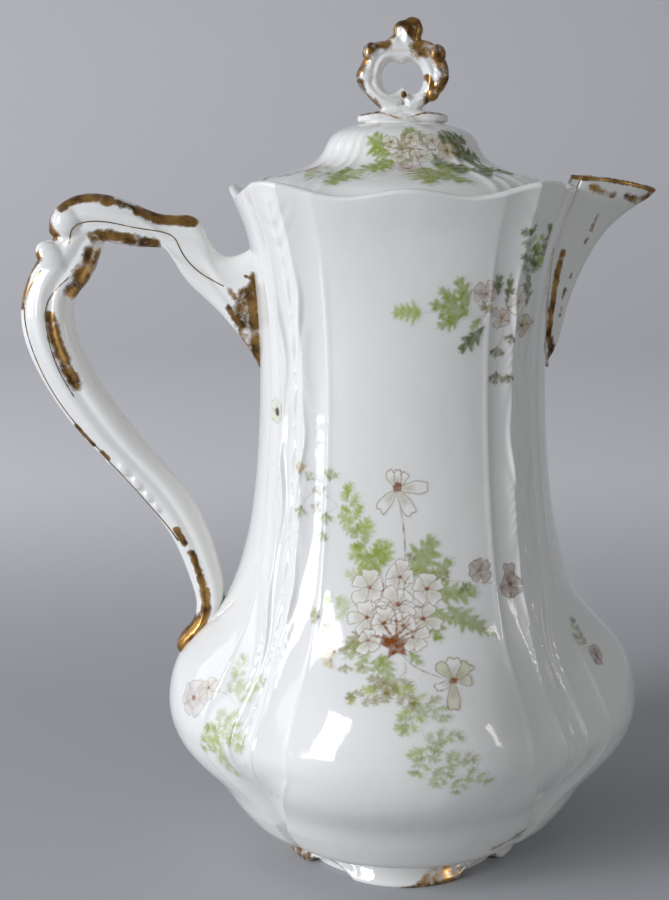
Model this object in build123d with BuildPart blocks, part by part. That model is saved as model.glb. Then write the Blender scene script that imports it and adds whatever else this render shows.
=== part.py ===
from build123d import *
from math import atan2, cos, radians, sin
import os

# Porcelain chocolate pot with a loose lid, in millimetres, +Z up.
# The origin is on the table under the middle of the pot. The spout points along +X and the
# handle along -X. Four lobes face +X, +Y, -X and -Y, with a relief column between each two.

# ---- Driving dimensions: body ----
foot_height = 8.5  # table to the underside of the belly
belly_height = 47.0  # table to the widest level
waist_height = 150.0  # table to the narrowest level of the neck
rim_height = 200.6  # table to the mean level of the scalloped rim
belly_radius = 70.6  # crest of a lobe at the belly
waist_radius = 41.8  # crest of a lobe at the waist
rim_radius = 50.2  # crest of a lobe at the rim
column_belly_radius = 65.8  # sunk channel of a column at the belly
column_waist_radius = 43.8
column_rim_radius = 54.0
wall = 3.5
rim_spare = 5.0  # the walls are drawn this far above the rim and then cut to its wave
rim_dip = 0.95  # half the difference between the rim at the lobes and at the columns
rim_ripple = 1.5  # half the depth of the eight scallops
spare = 1.0  # cuts run at least this far past the faces that they open

# ---- Driving dimensions: relief columns ----
ridge_turn = 15.0  # degrees from the middle of a column to its outer ridges
roll_turn = 5.0  # degrees from the middle of a column to the rolls of its channel
ridge_rise = 0.35  # where a ridge lies between the channel (0) and the lobe crest (1)
roll_height = 0.9  # rolls above the channel
flat_sink = 0.5  # hollow of the flats between ridge and roll
full_height = 43.0  # table to where a column has its full width; below it narrows to a crease
crease_height = 20.0  # table to where it is narrowest
crease_share = 0.2  # width there, as a share of the full one
crease_rise = 0.4  # how much nearer to the lobe crest a ridge lies where the column has no width
corner_turn = 12.0  # the same for the plain corners of the inside, the lid and the foot

# ---- Driving dimensions: gallery and lid ----
seat_depth = 5.0  # mean rim to the ledge that carries the lid
ledge_thickness = 4.0
ledge_slope = 9.0  # height of the cone under the ledge
throat_gap = 0.3  # the round opening inside the ledge is this much narrower than the waist's bore
gallery_set_in = 2.0  # inner wall of the gallery at the ledge, in from the rim's: at the lobes
gallery_corner_set_in = 1.6  # at the columns
gallery_flare = 4.8  # how far that wall leans out on its way up: at the lobes
gallery_corner_flare = 3.6  # at the columns
lid_gap = 0.6  # lid brim to the rim's inner wall
flange_gap = 0.5  # locating flange to the throat
flange_depth = 8.0
flange_wall = 3.4
lid_wall = 3.6
brim_thickness = 2.6
dome_radius = 22.8  # steep part of the dome
crown_radius = 12.4
dome_height = 22.6  # ledge to the crown
hollow_rise = 2.0  # ledge to where the lid's hollow widens into the flange's bore
column_on_lid = 1.3  # how far the lid's corners stand out past its lobes at the brim
flute_relief = 0.8  # flutes on the lid's corners, as a share of the body's columns
flute_fade = 4.0  # reach over which the flutes rise from the brim

# ---- Driving dimensions: foot ring ----
foot_radius = 35.0  # crest of a foot lobe
foot_corner_radius = 31.5
foot_waist = 1.6  # how far the foot draws in at half its height
foot_bore = 26.5
foot_stand = 3.0  # width of the plain ring that stands on the table
foot_arch_width = 17.0  # openings under the foot's edge at the four corners
foot_arch_height = 3.0

# ---- Driving dimensions: spout ----
spout_length = 52.6  # mean rim down to where the spout leaves the neck
spout_reach = 73.6  # axis to the tip
tip_drop = 2.2  # mean rim down to the tip
keel_lean = 1.12  # reach of the drawn keel above the lip, as a share of its reach at the tip
spout_half_width = 11.0  # at the rim
spout_nose_radius = 2.6
spout_wall = 2.7
channel_half_width = 0.6  # least half width of the pour channel, at the spout's root
lip_rise = 2.1  # mean rim up to the lip where it leaves the rim
lip_droop = 4.2  # lip at the rim to lip at the tip
lip_bow = 0.28  # share of the droop that is reached half way along the lip

# ---- Driving dimensions: handle ----
handle_width = 13.0  # across the handle, along Y
groove_depth = 0.10  # share of the width taken by the side grooves
roll_edge = 0.12  # where the outer roll ends, as a share of the scroll's half depth
groove_floor = -0.08
groove_edge = -0.30
inner_share = 0.92  # width of the inner roll, as a share of the outer one's

# ---- Driving dimensions: finial ----
finial_height = 29.0
finial_width = 26.4
finial_depth = 10.5
finial_foot_radius = 12.2

# ---- Heights and radii that follow from them ----
seat_height = rim_height - seat_depth
crown_height = seat_height + dome_height
throat_radius = waist_radius - wall - throat_gap
flange_radius = throat_radius - flange_gap
spout_root_height = rim_height - spout_length
spout_rise = spout_length - tip_drop
spout_jut = spout_reach - waist_radius
spout_top = rim_height + rim_spare
lip_height = rim_height + lip_rise


def polar(radius, angle):
    """Point at a distance from the axis, in a direction given in degrees."""
    return (radius * cos(radians(angle)), radius * sin(radians(angle)))


def levels_along(lead, others, count):
    """Rows of a height, the reach of the leading curve there and the reach of the other curves.

    The curves stand in the XZ plane and only rise. The rows are spaced evenly along the leading one.
    """
    rows = []
    for step in range(count + 1):
        point = lead @ (step / count)
        rows.append((point.Z, point.X, *[reach_at(curve, point.Z) for curve in others]))
    return rows


def reach_at(curve, height):
    """Reach of a rising curve at a height, found by halving the stretch that holds it."""
    low, high = 0.0, 1.0
    for _ in range(24):
        middle = (low + high) / 2
        if (curve @ middle).Z < height:
            low = middle
        else:
            high = middle
    return (curve @ low).X


# ---- Body meridians ----
# One curve follows the crest of a lobe and one the channel of a column. Below the waist they
# swell from the waist (0) to the belly (1); above it they flare from the waist (0) to the rim (1).
def belly_point(rise, swell, belly, waist):
    """Point below the waist: rise is 0 at the foot, 1 at the belly and 2 at the waist."""
    if rise <= 1:
        height = foot_height + rise * (belly_height - foot_height)
    else:
        height = belly_height + (rise - 1) * (waist_height - belly_height)
    return (waist + swell * (belly - waist), 0, height)


def neck_point(rise, flare, rim, waist):
    """Point above the waist: rise is 0 at the waist and 1 at the mean rim."""
    return (waist + flare * (rim - waist), 0, waist_height + rise * (rim_height - waist_height))


above = 1.0 + rim_spare / (rim_height - waist_height)
lobe_swell = [
    (0.00, -0.15), (0.07, 0.13), (0.17, 0.26), (0.30, 0.39), (0.48, 0.56), (0.72, 0.87), (1.00, 1.00),
    (1.10, 0.95), (1.18, 0.79), (1.27, 0.50), (1.38, 0.28), (1.56, 0.11), (1.80, 0.02), (2.00, 0.00),
]
lobe_flare = [(0.40, 0.10), (0.75, 0.40), (0.91, 0.77), (1.00, 1.00), (above, 1.28)]
column_swell = [
    (0.00, -0.49), (0.07, -0.18), (0.17, 0.02), (0.30, 0.20), (0.48, 0.42), (0.72, 0.74), (1.00, 1.00),
    (1.10, 0.80), (1.18, 0.60), (1.27, 0.43), (1.38, 0.28), (1.56, 0.14), (1.80, 0.03), (2.00, 0.00),
]
column_flare = [(0.40, 0.16), (0.75, 0.56), (0.91, 0.84), (1.00, 1.00), (above, 1.16)]
lobe_crest = Spline(
    [belly_point(*mark, belly_radius, waist_radius) for mark in lobe_swell]
    + [neck_point(*mark, rim_radius, waist_radius) for mark in lobe_flare]
)
column_channel = Spline(
    [belly_point(*mark, column_belly_radius, column_waist_radius) for mark in column_swell]
    + [neck_point(*mark, column_rim_radius, column_waist_radius) for mark in column_flare]
)
levels = levels_along(lobe_crest, [column_channel], 36)


def column_section(height, lobe, channel, relief=1.0, width=1.0):
    """Level outline with four lobes, and between them columns of two flats and a channel.

    The relief and the width of the columns are shares of the full ones.
    """
    ridge = channel + (ridge_rise + crease_rise * (1 - width)) * (lobe - channel)
    roll = channel + relief * roll_height
    flat = (ridge + roll) / 2 - relief * flat_sink
    ridge_at, roll_at = ridge_turn * width, roll_turn * width
    flat_at = (ridge_at + roll_at) / 2
    with BuildSketch(Plane.XY.offset(height)) as section:
        with BuildLine():
            for corner in (45, 135, 225, 315):
                ridges = [polar(ridge, corner + turn) for turn in (-ridge_at, ridge_at, 90 - ridge_at)]
                flats = [polar(flat, corner + turn) for turn in (-flat_at, flat_at)]
                rolls = [polar(roll, corner + turn) for turn in (-roll_at, roll_at)]
                ThreePointArc(ridges[0], flats[0], rolls[0])
                ThreePointArc(rolls[0], polar(channel, corner), rolls[1])
                ThreePointArc(rolls[1], flats[1], ridges[1])
                ThreePointArc(ridges[1], polar(lobe, corner + 45), ridges[2])
        make_face()
    return section.sketch


def body_section(height, lobe, channel):
    """Level outline of the outside of the body, whose columns narrow to creases under the belly."""
    part = (height - crease_height) / (full_height - crease_height)
    width = crease_share + (1 - crease_share) * min(max(part, 0.0), 1.0)
    return column_section(height, lobe, channel, width, width)


def plain_section(height, lobe, corner_radius):
    """Level outline of a smooth quatrefoil: four lobes and four rounded corners."""
    edge = corner_radius + ridge_rise * (lobe - corner_radius)
    with BuildSketch(Plane.XY.offset(height)) as section:
        with BuildLine():
            for corner in (45, 135, 225, 315):
                ends = [polar(edge, corner + turn) for turn in (-corner_turn, corner_turn, 90 - corner_turn)]
                ThreePointArc(ends[0], polar(corner_radius, corner), ends[1])
                ThreePointArc(ends[1], polar(lobe, corner + 45), ends[2])
        make_face()
    return section.sketch


def inset(rows, thickness):
    """Rows moved inward, square to their slope, by the wall's thickness."""
    inner = []
    for below, here, above in zip(rows, rows[1:], rows[2:]):
        slope = atan2(above[1] - below[1], above[0] - below[0])
        shift = thickness * cos(slope)
        inner.append((here[0] + thickness * sin(slope), here[1] - shift, here[2] - shift))
    return inner


# ---- Solid outline of the body, which the spout and the handle are fitted to ----
with BuildPart() as envelope:
    loft(sections=[body_section(*level) for level in levels], ruled=True)


# ---- Rim wave: everything above it is cut away ----
def rim_wave(radius, rise=0.0, steps=64):
    """One turn of the scalloped rim at a distance from the axis."""
    turns = [360 * step / steps for step in range(steps)]
    return Spline(
        [
            (
                *polar(radius, turn),
                rim_height + rise - rim_dip * cos(radians(4 * turn)) + rim_ripple * cos(radians(8 * turn)),
            )
            for turn in turns
        ],
        periodic=True,
    )


above_rim = Face.make_surface_from_curves(
    rim_wave(throat_radius / 2), rim_wave(column_rim_radius + 2 * rim_spare)
)


# ---- Pour channel: the room inside the spout, open to the throat ----
# The keel is the spout's front edge and the flank its half width, both over the height.
keel_points = [
    (0.00, 0.00), (0.13, 0.12), (0.30, 0.19), (0.48, 0.28), (0.64, 0.40), (0.76, 0.52), (0.86, 0.67),
    (0.94, 0.85), (1.00, 0.98),
]
keel = Spline(
    [
        (waist_radius + reach * spout_jut, 0, spout_root_height + rise * spout_rise)
        for rise, reach in keel_points
    ]
    + [(waist_radius + keel_lean * spout_jut, 0, spout_top)]
)
flank = Spline(
    (0.12 * spout_half_width, 0, spout_root_height),
    (0.50 * spout_half_width, 0, spout_root_height + 0.3 * spout_rise),
    (0.82 * spout_half_width, 0, spout_root_height + 0.7 * spout_rise),
    (spout_half_width, 0, spout_top),
)
spout_levels = levels_along(keel, [flank], 16)


def spout_section(height, reach, half_width, back):
    """Level outline of the spout: a pointed oval with a small round nose and a straight back."""
    nose = min(spout_nose_radius, 0.8 * half_width)
    tangent = (reach - 0.4 * nose, 0.8 * nose)
    middle = ((back + tangent[0]) / 2, 0.62 * half_width + 0.5 * tangent[1])
    with BuildSketch(Plane.XY.offset(height)) as section:
        with BuildLine():
            Line((back, half_width), (back, -half_width))
            ThreePointArc((back, -half_width), (middle[0], -middle[1]), (tangent[0], -tangent[1]))
            ThreePointArc((tangent[0], -tangent[1]), (reach, 0), tangent)
            ThreePointArc(tangent, middle, (back, half_width))
        make_face()
    return section.sketch


channel_levels = [
    (height, reach, max(half_width, channel_half_width))
    for height, reach, half_width in inset(spout_levels, spout_wall)
]
channel_levels.append((spout_top + rim_spare, channel_levels[-1][1] + rim_spare, channel_levels[-1][2]))
channel_back = throat_radius - rim_spare

with BuildPart() as pour_channel:
    loft(sections=[spout_section(*level, channel_back) for level in channel_levels], ruled=True)


# ---- Body: one hollow casting with a ledge for the lid ----
cavity_levels = inset(levels, wall)
lower_cavity = [level for level in cavity_levels if level[0] < seat_height - ledge_thickness - ledge_slope]
floor_level = (foot_height + wall, levels[0][1] - wall, levels[0][2] - wall)
mouth = (
    seat_height,
    rim_radius - wall - gallery_set_in,
    column_rim_radius - wall - gallery_corner_set_in,
)
mouth_top = (rim_height + 2 * rim_spare, mouth[1] + gallery_flare, mouth[2] + gallery_corner_flare)

with BuildPart() as pot_body:
    add(envelope.part)
    extrude(to_extrude=above_rim, amount=6 * rim_spare, dir=(0, 0, 1), mode=Mode.SUBTRACT)
    loft(
        sections=[plain_section(*level) for level in [floor_level] + lower_cavity],
        ruled=True,
        mode=Mode.SUBTRACT,
    )
    loft(
        sections=[
            plain_section(*lower_cavity[-1]),
            plain_section(seat_height - ledge_thickness, throat_radius, throat_radius),
        ],
        ruled=True,
        mode=Mode.SUBTRACT,
    )
    with BuildSketch(Plane.XY.offset(seat_height - ledge_thickness - spare)):
        Circle(throat_radius)
    extrude(amount=ledge_thickness + 2 * spare, mode=Mode.SUBTRACT)
    loft(sections=[plain_section(*mouth), plain_section(*mouth_top)], ruled=True, mode=Mode.SUBTRACT)
    add(pour_channel.part, mode=Mode.SUBTRACT)

pot_body.part.label = "pot_body"


# ---- Foot ring: a plain standing ring inside a lobed skirt ----
foot_levels = []
for rise in (0, 0.25, 0.5, 0.75, 1):
    draw_in = 4 * foot_waist * rise * (1 - rise)
    foot_levels.append((rise * foot_height, foot_radius - draw_in, foot_corner_radius - draw_in))

with BuildPart() as foot_ring:
    loft(sections=[plain_section(*level) for level in foot_levels], ruled=True)
    arch_radius = (foot_arch_width**2 / 4 + foot_arch_height**2) / (2 * foot_arch_height)
    for corner in (45, 135, 225, 315):
        arch = Plane(
            origin=(*polar(foot_bore + foot_stand, corner), foot_arch_height - arch_radius),
            x_dir=(-sin(radians(corner)), cos(radians(corner)), 0),
            z_dir=(*polar(1, corner), 0),
        )
        with BuildSketch(arch):
            Circle(arch_radius)
        extrude(amount=foot_radius, mode=Mode.SUBTRACT)
    with BuildSketch(Plane.XY):
        Circle(foot_bore)
    extrude(amount=foot_height, mode=Mode.SUBTRACT)

foot_ring.part.label = "foot_ring"


# ---- Spout: a pointed beak with an open top ----
with BuildPart() as spout:
    loft(sections=[spout_section(*level, throat_radius) for level in spout_levels], ruled=True)
    add(envelope.part, mode=Mode.SUBTRACT)
    add(pour_channel.part, mode=Mode.SUBTRACT)
    with BuildSketch(Plane.XZ) as above_lip:
        with BuildLine():
            start = (rim_radius, lip_height)
            tip = (spout_reach + spare, lip_height - lip_droop)
            middle = ((start[0] + tip[0]) / 2, lip_height - lip_bow * lip_droop)
            far = waist_radius + keel_lean * spout_jut + rim_spare
            high = lip_height + 2 * rim_spare
            ThreePointArc(start, middle, tip)
            Polyline(tip, (far, tip[1]), (far, high), (0, high), (0, lip_height), start)
        make_face()
    extrude(amount=2 * spout_half_width, both=True, mode=Mode.SUBTRACT)

spout.part.label = "spout"


# ---- Handle: two C-scrolls, the upper one short and flaring into its root ----
# A scroll runs between an outer and an inner line. The outer line's y is half the scroll's width.
# The root of the upper scroll starts inside the neck's wall, and is cut off at its outside.
def scroll_ribs(outer_line, inner_line, count):
    """Ribs of a scroll: each has an outer roll, an inner roll and a groove along each side."""
    ribs = []
    for step in range(count + 1):
        outer = outer_line @ (step / count)
        inner = inner_line @ (step / count)
        side = outer.Y
        across = Vector(outer.X - inner.X, 0, outer.Z - inner.Z)
        middle = Vector(outer.X + inner.X, 0, outer.Z + inner.Z) * 0.5
        half = across.length / 2
        groove = side * (1 - groove_depth)
        crease = side * inner_share
        roll, floor, edge = roll_edge * half, groove_floor * half, groove_edge * half
        with BuildSketch(Plane(origin=middle, x_dir=across, z_dir=(across.Z, 0, -across.X))) as rib:
            with BuildLine():
                ThreePointArc((roll, -side), (half, 0), (roll, side))
                ThreePointArc((roll, side), (floor, groove), (edge, crease))
                ThreePointArc((edge, crease), (-half, 0), (edge, -crease))
                ThreePointArc((edge, -crease), (floor, -groove), (roll, -side))
            make_face()
        ribs.append(rib.sketch)
    return ribs


wide = handle_width / 2
upper_outer = Spline(
    (-throat_radius, 0.95 * wide, 183.5),
    (-47.0, 0.92 * wide, 183.0),
    (-54.5, 0.86 * wide, 187.0),
    (-61.5, 0.82 * wide, 191.8),
    (-70.0, 0.84 * wide, 193.0),
    (-79.0, 0.92 * wide, 196.2),
    (-88.0, 1.00 * wide, 198.6),
    (-96.5, 0.98 * wide, 197.0),
    (-101.6, 0.80 * wide, 191.2),
    (-100.6, 0.45 * wide, 186.4),
)
upper_inner = Spline(
    (-throat_radius, 0, 147.0),
    (-45.5, 0, 153.5),
    (-55.0, 0, 166.0),
    (-63.8, 0, 175.5),
    (-70.0, 0, 182.0),
    (-77.5, 0, 183.2),
    (-86.0, 0, 185.0),
    (-91.5, 0, 184.6),
    (-97.5, 0, 184.8),
)
lower_outer = Spline(
    (-93.0, 0.60 * wide, 194.5),
    (-99.5, 0.90 * wide, 188.0),
    (-105.8, 1.05 * wide, 178.6),
    (-109.6, 1.08 * wide, 170.0),
    (-110.6, 1.08 * wide, 162.0),
    (-108.2, 1.06 * wide, 151.5),
    (-102.0, 1.02 * wide, 139.0),
    (-93.5, 0.98 * wide, 127.0),
    (-83.7, 0.93 * wide, 116.8),
    (-75.0, 0.88 * wide, 106.6),
    (-68.0, 0.84 * wide, 96.0),
    (-63.8, 0.80 * wide, 85.2),
    (-62.2, 0.80 * wide, 76.8),
    (-64.5, 0.84 * wide, 69.0),
    (-68.2, 0.70 * wide, 64.5),
    (-66.4, 0.35 * wide, 61.4),
)
lower_inner = Spline(
    (-85.0, 0, 190.0),
    (-87.3, 0, 181.0),
    (-90.5, 0, 174.0),
    (-94.5, 0, 169.0),
    (-95.6, 0, 162.8),
    (-93.6, 0, 154.8),
    (-88.3, 0, 143.6),
    (-81.2, 0, 133.2),
    (-74.0, 0, 123.6),
    (-66.0, 0, 114.2),
    (-59.2, 0, 102.6),
    (-55.0, 0, 90.0),
    (-53.0, 0, 78.5),
    (-54.5, 0, 67.0),
    (-62.0, 0, 59.8),
)

with BuildPart() as handle:
    loft(sections=scroll_ribs(upper_outer, upper_inner, 20), ruled=True)
    loft(sections=scroll_ribs(lower_outer, lower_inner, 36), ruled=True)
    add(envelope.part, mode=Mode.SUBTRACT)

handle.part.label = "handle"


# ---- Lid: a lobed dome with a brim that sits on the ledge and a flange that goes in the throat ----
brim_radius = mouth[1] - lid_gap
brim_corner = brim_radius + column_on_lid
lid_marks = [
    (brim_thickness / dome_height, 1.00), (0.23, 0.95), (0.34, 0.84), (0.44, 0.67), (0.54, 0.565),
    (0.66, 0.515), (0.78, 0.485), (0.88, 0.44), (0.95, 0.365), (1.00, 0.275),
]
lid_heights = [seat_height + rise * dome_height for rise, _ in lid_marks]
lid_crest = Spline([(mark[1] * brim_radius, 0, height) for mark, height in zip(lid_marks, lid_heights)])
lid_corner = Spline([(mark[1] * brim_corner, 0, height) for mark, height in zip(lid_marks, lid_heights)])
lid_levels = levels_along(lid_crest, [lid_corner], 16)


def lid_section(height, lobe, corner_radius):
    """Level outline of the lid: its corners carry flutes that fade at the brim and the crown."""
    full = min(1.0, (brim_radius - lobe) / flute_fade, (lobe - crown_radius) / flute_fade)
    return column_section(height, lobe, corner_radius, flute_relief * max(full, 0.0))


with BuildPart() as lid:
    with BuildSketch(Plane.XY.offset(seat_height)):
        add(lid_section(0, brim_radius, brim_corner))
    extrude(amount=lid_levels[0][0] - seat_height)
    loft(sections=[lid_section(*level) for level in lid_levels], ruled=True)
    with BuildSketch(Plane.XY.offset(seat_height - flange_depth)):
        Circle(flange_radius)
    extrude(amount=flange_depth + spare)
    with BuildSketch(Plane.XZ):
        with BuildLine():
            bore = flange_radius - flange_wall
            dome = dome_radius - lid_wall
            bottom = seat_height - flange_depth
            ceiling = crown_height - lid_wall
            hollow_edge = (bore, seat_height + hollow_rise)
            crown_edge = (crown_radius - lid_wall, ceiling)
            shoulder = (dome - 1.0, seat_height + 0.66 * dome_height)
            neck = (dome + 3.0, seat_height + 0.42 * dome_height)
            Polyline(hollow_edge, (bore, bottom), (0, bottom), (0, ceiling), crown_edge)
            ThreePointArc(crown_edge, shoulder, neck)
            Line(neck, hollow_edge)
        make_face()
    revolve(axis=Axis.Z, mode=Mode.SUBTRACT)

lid.part.label = "lid"


# ---- Finial: a ring of two mirrored scrolls round a heart-shaped opening, with a leaning bud ----
# Its lines are drawn above the crown of the lid. The outer line's y is half the finial's depth.
deep = finial_depth / 2
half_ring = finial_width / 2


def above_crown(*points):
    """Points given as x, y and a height above the crown."""
    return [(x, y, crown_height + z) for x, y, z in points]


ring_outer = Spline(
    above_crown(
        (0, 0.85 * deep, 0.78 * finial_height),
        (-0.42 * half_ring, 0.9 * deep, 0.79 * finial_height),
        (-0.78 * half_ring, deep, 0.72 * finial_height),
        (-half_ring, deep, 0.46 * finial_height),
        (-0.80 * half_ring, 0.9 * deep, 0.28 * finial_height),
        (-0.50 * half_ring, 0.8 * deep, 0.14 * finial_height),
        (-0.20 * half_ring, 0.7 * deep, 0.07 * finial_height),
    )
)
ring_inner = Spline(
    above_crown(
        (0, 0, 0.59 * finial_height),
        (-0.28 * half_ring, 0, 0.61 * finial_height),
        (-0.43 * half_ring, 0, 0.53 * finial_height),
        (-0.42 * half_ring, 0, 0.41 * finial_height),
        (-0.30 * half_ring, 0, 0.33 * finial_height),
        (-0.14 * half_ring, 0, 0.34 * finial_height),
        (0, 0, 0.39 * finial_height),
    )
)
bud_outer = Spline(
    above_crown(
        (-0.36 * half_ring, 0.8 * deep, 0.74 * finial_height),
        (-0.36 * half_ring, 0.8 * deep, 0.83 * finial_height),
        (-0.18 * half_ring, 0.7 * deep, 0.94 * finial_height),
        (0.18 * half_ring, 0.3 * deep, finial_height),
    )
)
bud_inner = Spline(
    above_crown(
        (0.38 * half_ring, 0, 0.74 * finial_height),
        (0.40 * half_ring, 0, 0.82 * finial_height),
        (0.46 * half_ring, 0, 0.90 * finial_height),
        (0.34 * half_ring, 0, 0.985 * finial_height),
    )
)

# Height above the crown, and the reach of the foot's lobes and corners as shares of its radius.
finial_foot_marks = [(0.0, 1.00, 0.75), (1.6, 0.94, 0.70), (3.2, 0.62, 0.50), (5.2, 0.42, 0.36)]

with BuildPart() as finial:
    loft(
        sections=[
            plain_section(crown_height + rise, lobe * finial_foot_radius, corner * finial_foot_radius)
            for rise, lobe, corner in finial_foot_marks
        ],
        ruled=True,
    )
    half = loft(sections=scroll_ribs(ring_outer, ring_inner, 13), ruled=True)
    mirror(half, about=Plane.YZ)
    loft(sections=scroll_ribs(bud_outer, bud_inner, 5), ruled=True)

finial.part.label = "finial"


os.makedirs("parts", exist_ok=True)
export_step(pot_body.part, "parts/pot_body.step")
export_step(foot_ring.part, "parts/foot_ring.step")
export_step(spout.part, "parts/spout.step")
export_step(handle.part, "parts/handle.step")
export_step(lid.part, "parts/lid.step")
export_step(finial.part, "parts/finial.step")
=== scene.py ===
import math
import bmesh
import bpy
import numpy as np
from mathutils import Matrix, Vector


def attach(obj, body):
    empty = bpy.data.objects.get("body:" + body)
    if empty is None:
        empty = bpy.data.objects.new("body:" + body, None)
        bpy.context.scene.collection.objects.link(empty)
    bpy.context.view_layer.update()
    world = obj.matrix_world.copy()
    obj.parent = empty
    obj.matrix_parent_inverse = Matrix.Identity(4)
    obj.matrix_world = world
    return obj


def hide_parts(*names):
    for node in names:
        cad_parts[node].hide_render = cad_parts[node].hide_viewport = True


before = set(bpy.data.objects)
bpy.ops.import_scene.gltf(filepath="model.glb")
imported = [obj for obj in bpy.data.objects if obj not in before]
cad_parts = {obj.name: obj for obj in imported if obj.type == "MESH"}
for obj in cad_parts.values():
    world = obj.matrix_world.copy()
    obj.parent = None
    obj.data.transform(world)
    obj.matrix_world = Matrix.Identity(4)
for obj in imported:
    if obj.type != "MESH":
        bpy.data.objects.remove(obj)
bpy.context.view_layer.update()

# ---- Camera ----
# It stands in front of the pot, a little to the handle side, at the height of the crown of the
# lid, and looks 10.5 degrees down. The distances were worked out from the photograph, in mm.
eye_distance, eye_height, eye_turn, eye_pitch = 479.6, 211.75, 2.25, 10.48
focal_pixels, axis_pixel, image_width, image_height, sensor = 1640.3, 402.5, 669, 900, 36
camera = bpy.data.objects.new("camera", bpy.data.cameras.new("camera"))
bpy.context.collection.objects.link(camera)
camera.location = (
    -eye_distance / 1000 * math.sin(math.radians(eye_turn)),
    -eye_distance / 1000 * math.cos(math.radians(eye_turn)),
    eye_height / 1000,
)
camera.rotation_euler = (math.radians(90 - eye_pitch), 0, math.radians(-eye_turn))
camera.data.sensor_width = sensor
camera.data.lens = sensor * focal_pixels / image_height
camera.data.shift_x = -(axis_pixel - image_width / 2) / image_height
camera.data.clip_start = 0.01
bpy.context.scene.camera = camera


# ---- Body ----
# A tall belly with four lobes, slip-cast in hard-paste porcelain. Each corner carries a relief
# column: a sunk channel with a string of husks between two scrolling rolls, up to the rim.
# The rim is cut in scallops and glazed over, and a ledge inside it carries the lid.
def smooth(marks, count):
    """Points of a smooth line through the marks, evenly spaced along it."""
    marks = np.array(marks, float)
    gaps = np.sqrt(np.linalg.norm(np.diff(marks, axis=0), axis=1))
    at = np.concatenate([[0], np.cumsum(gaps)])
    system = np.eye(len(marks))
    pull = np.zeros_like(marks)
    for i in range(1, len(marks) - 1):
        system[i, i - 1 : i + 2] = gaps[i - 1], 2 * (gaps[i - 1] + gaps[i]), gaps[i]
        pull[i] = 6 * ((marks[i + 1] - marks[i]) / gaps[i] - (marks[i] - marks[i - 1]) / gaps[i - 1])
    bend = np.linalg.solve(system, pull)
    fine = np.linspace(0, at[-1], 60 * len(marks))
    k = np.clip(np.searchsorted(at, fine, side="right") - 1, 0, len(marks) - 2)
    left = ((at[k + 1] - fine) / gaps[k])[:, None]
    right = 1 - left
    line = left * marks[k] + right * marks[k + 1]
    line += ((left**3 - left) * bend[k] + (right**3 - right) * bend[k + 1]) * gaps[k][:, None] ** 2 / 6
    run = np.concatenate([[0], np.cumsum(np.linalg.norm(np.diff(line, axis=0), axis=1))])
    return np.array([np.interp(np.linspace(0, run[-1], count), run, column) for column in line.T]).T


# Each mark is a radius and a height in mm: along the crest of a lobe and along a channel.
lobe_marks = [
    (37.5, 8.5), (45.5, 11.2), (49.3, 15.0), (53.0, 20.1), (58.0, 27.0), (66.8, 36.2), (70.6, 47.0),
    (69.2, 57.3), (64.6, 65.5), (56.2, 74.8), (49.9, 86.1), (45.0, 104.7), (42.4, 129.4), (41.8, 150.0),
    (42.6, 170.2), (45.2, 188.0), (48.3, 196.0), (50.2, 200.6), (52.6, 205.6),
]
channel_marks = [
    (33.0, 8.5), (39.9, 11.2), (44.3, 15.0), (48.2, 20.1), (53.0, 27.0), (60.1, 36.2), (65.8, 47.0),
    (61.4, 57.3), (57.0, 65.5), (53.3, 74.8), (50.0, 86.1), (46.9, 104.7), (44.5, 129.4), (43.8, 150.0),
    (45.4, 170.2), (49.5, 188.0), (52.4, 196.0), (54.0, 200.6), (55.6, 205.6),
]
lobe_line, channel_line = smooth(lobe_marks, 1500), smooth(channel_marks, 1500)
rim_height, ridge_turn, roll_turn, roll_height, flat_sink = 200.6, 15.0, 5.0, 0.9, 0.5
corners = (45, 135, 225, 315)


def reach_on(line, height):
    """Reach of a line of the body at a height."""
    return np.interp(height, line[:, 1], line[:, 0])


def around(reach, angles, level):
    """Points at a reach from the axis, in directions in degrees, at a level."""
    a = np.radians(angles)
    return np.stack([reach * np.cos(a), reach * np.sin(a), np.broadcast_to(level, np.shape(reach))], axis=-1)


def arc_reach(turn, half, crest, edge):
    """Reach of an arc through a crest at turn 0 and two edges at plus and minus half."""
    bow = (crest**2 - edge**2) / (2 * (crest - edge * np.cos(np.radians(half))))
    t = np.radians(turn)
    far = np.sqrt(np.maximum((crest - bow) ** 2 - (bow * np.sin(t)) ** 2, 0))
    return bow * np.cos(t) + np.sign(crest - bow) * far


def column_relief(across, height):
    """Raised work on a column: long husks in the channel between two rows of leafy C-scrolls."""
    pitch, scroll = 15.4, 41.0
    along = (height + 3) % pitch - pitch / 2
    husk = np.clip(1 - (across / (1.0 + 0.1 * along)) ** 2 - (along / 5.4) ** 2, 0, 1) ** 0.8
    pearl_along = (height + 3 + pitch / 2) % pitch - pitch / 2
    pearl = np.sqrt(np.clip(1 - (across / 0.7) ** 2 - (pearl_along / 0.7) ** 2, 0, 1))
    phase = 2 * np.pi * height / scroll
    edge = 3.7 + 1.1 * np.sin(phase)
    roll = np.exp(-(((np.abs(across) - edge) / 0.62) ** 2)) * (0.62 + 0.38 * np.cos(phase))
    veins = np.cos(2 * np.pi * (height + 1.6 * np.abs(across)) / 3.1) * np.clip(-np.sin(phase), 0, 1)
    leaf = np.exp(-(((np.abs(across) - edge - 1.7) / 1.3) ** 2)) * (0.75 + 0.25 * veins)
    return 0.5 * husk + 0.4 * pearl + 0.7 * roll + 0.36 * leaf * np.clip(0.4 - np.sin(phase), 0, 1)


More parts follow.
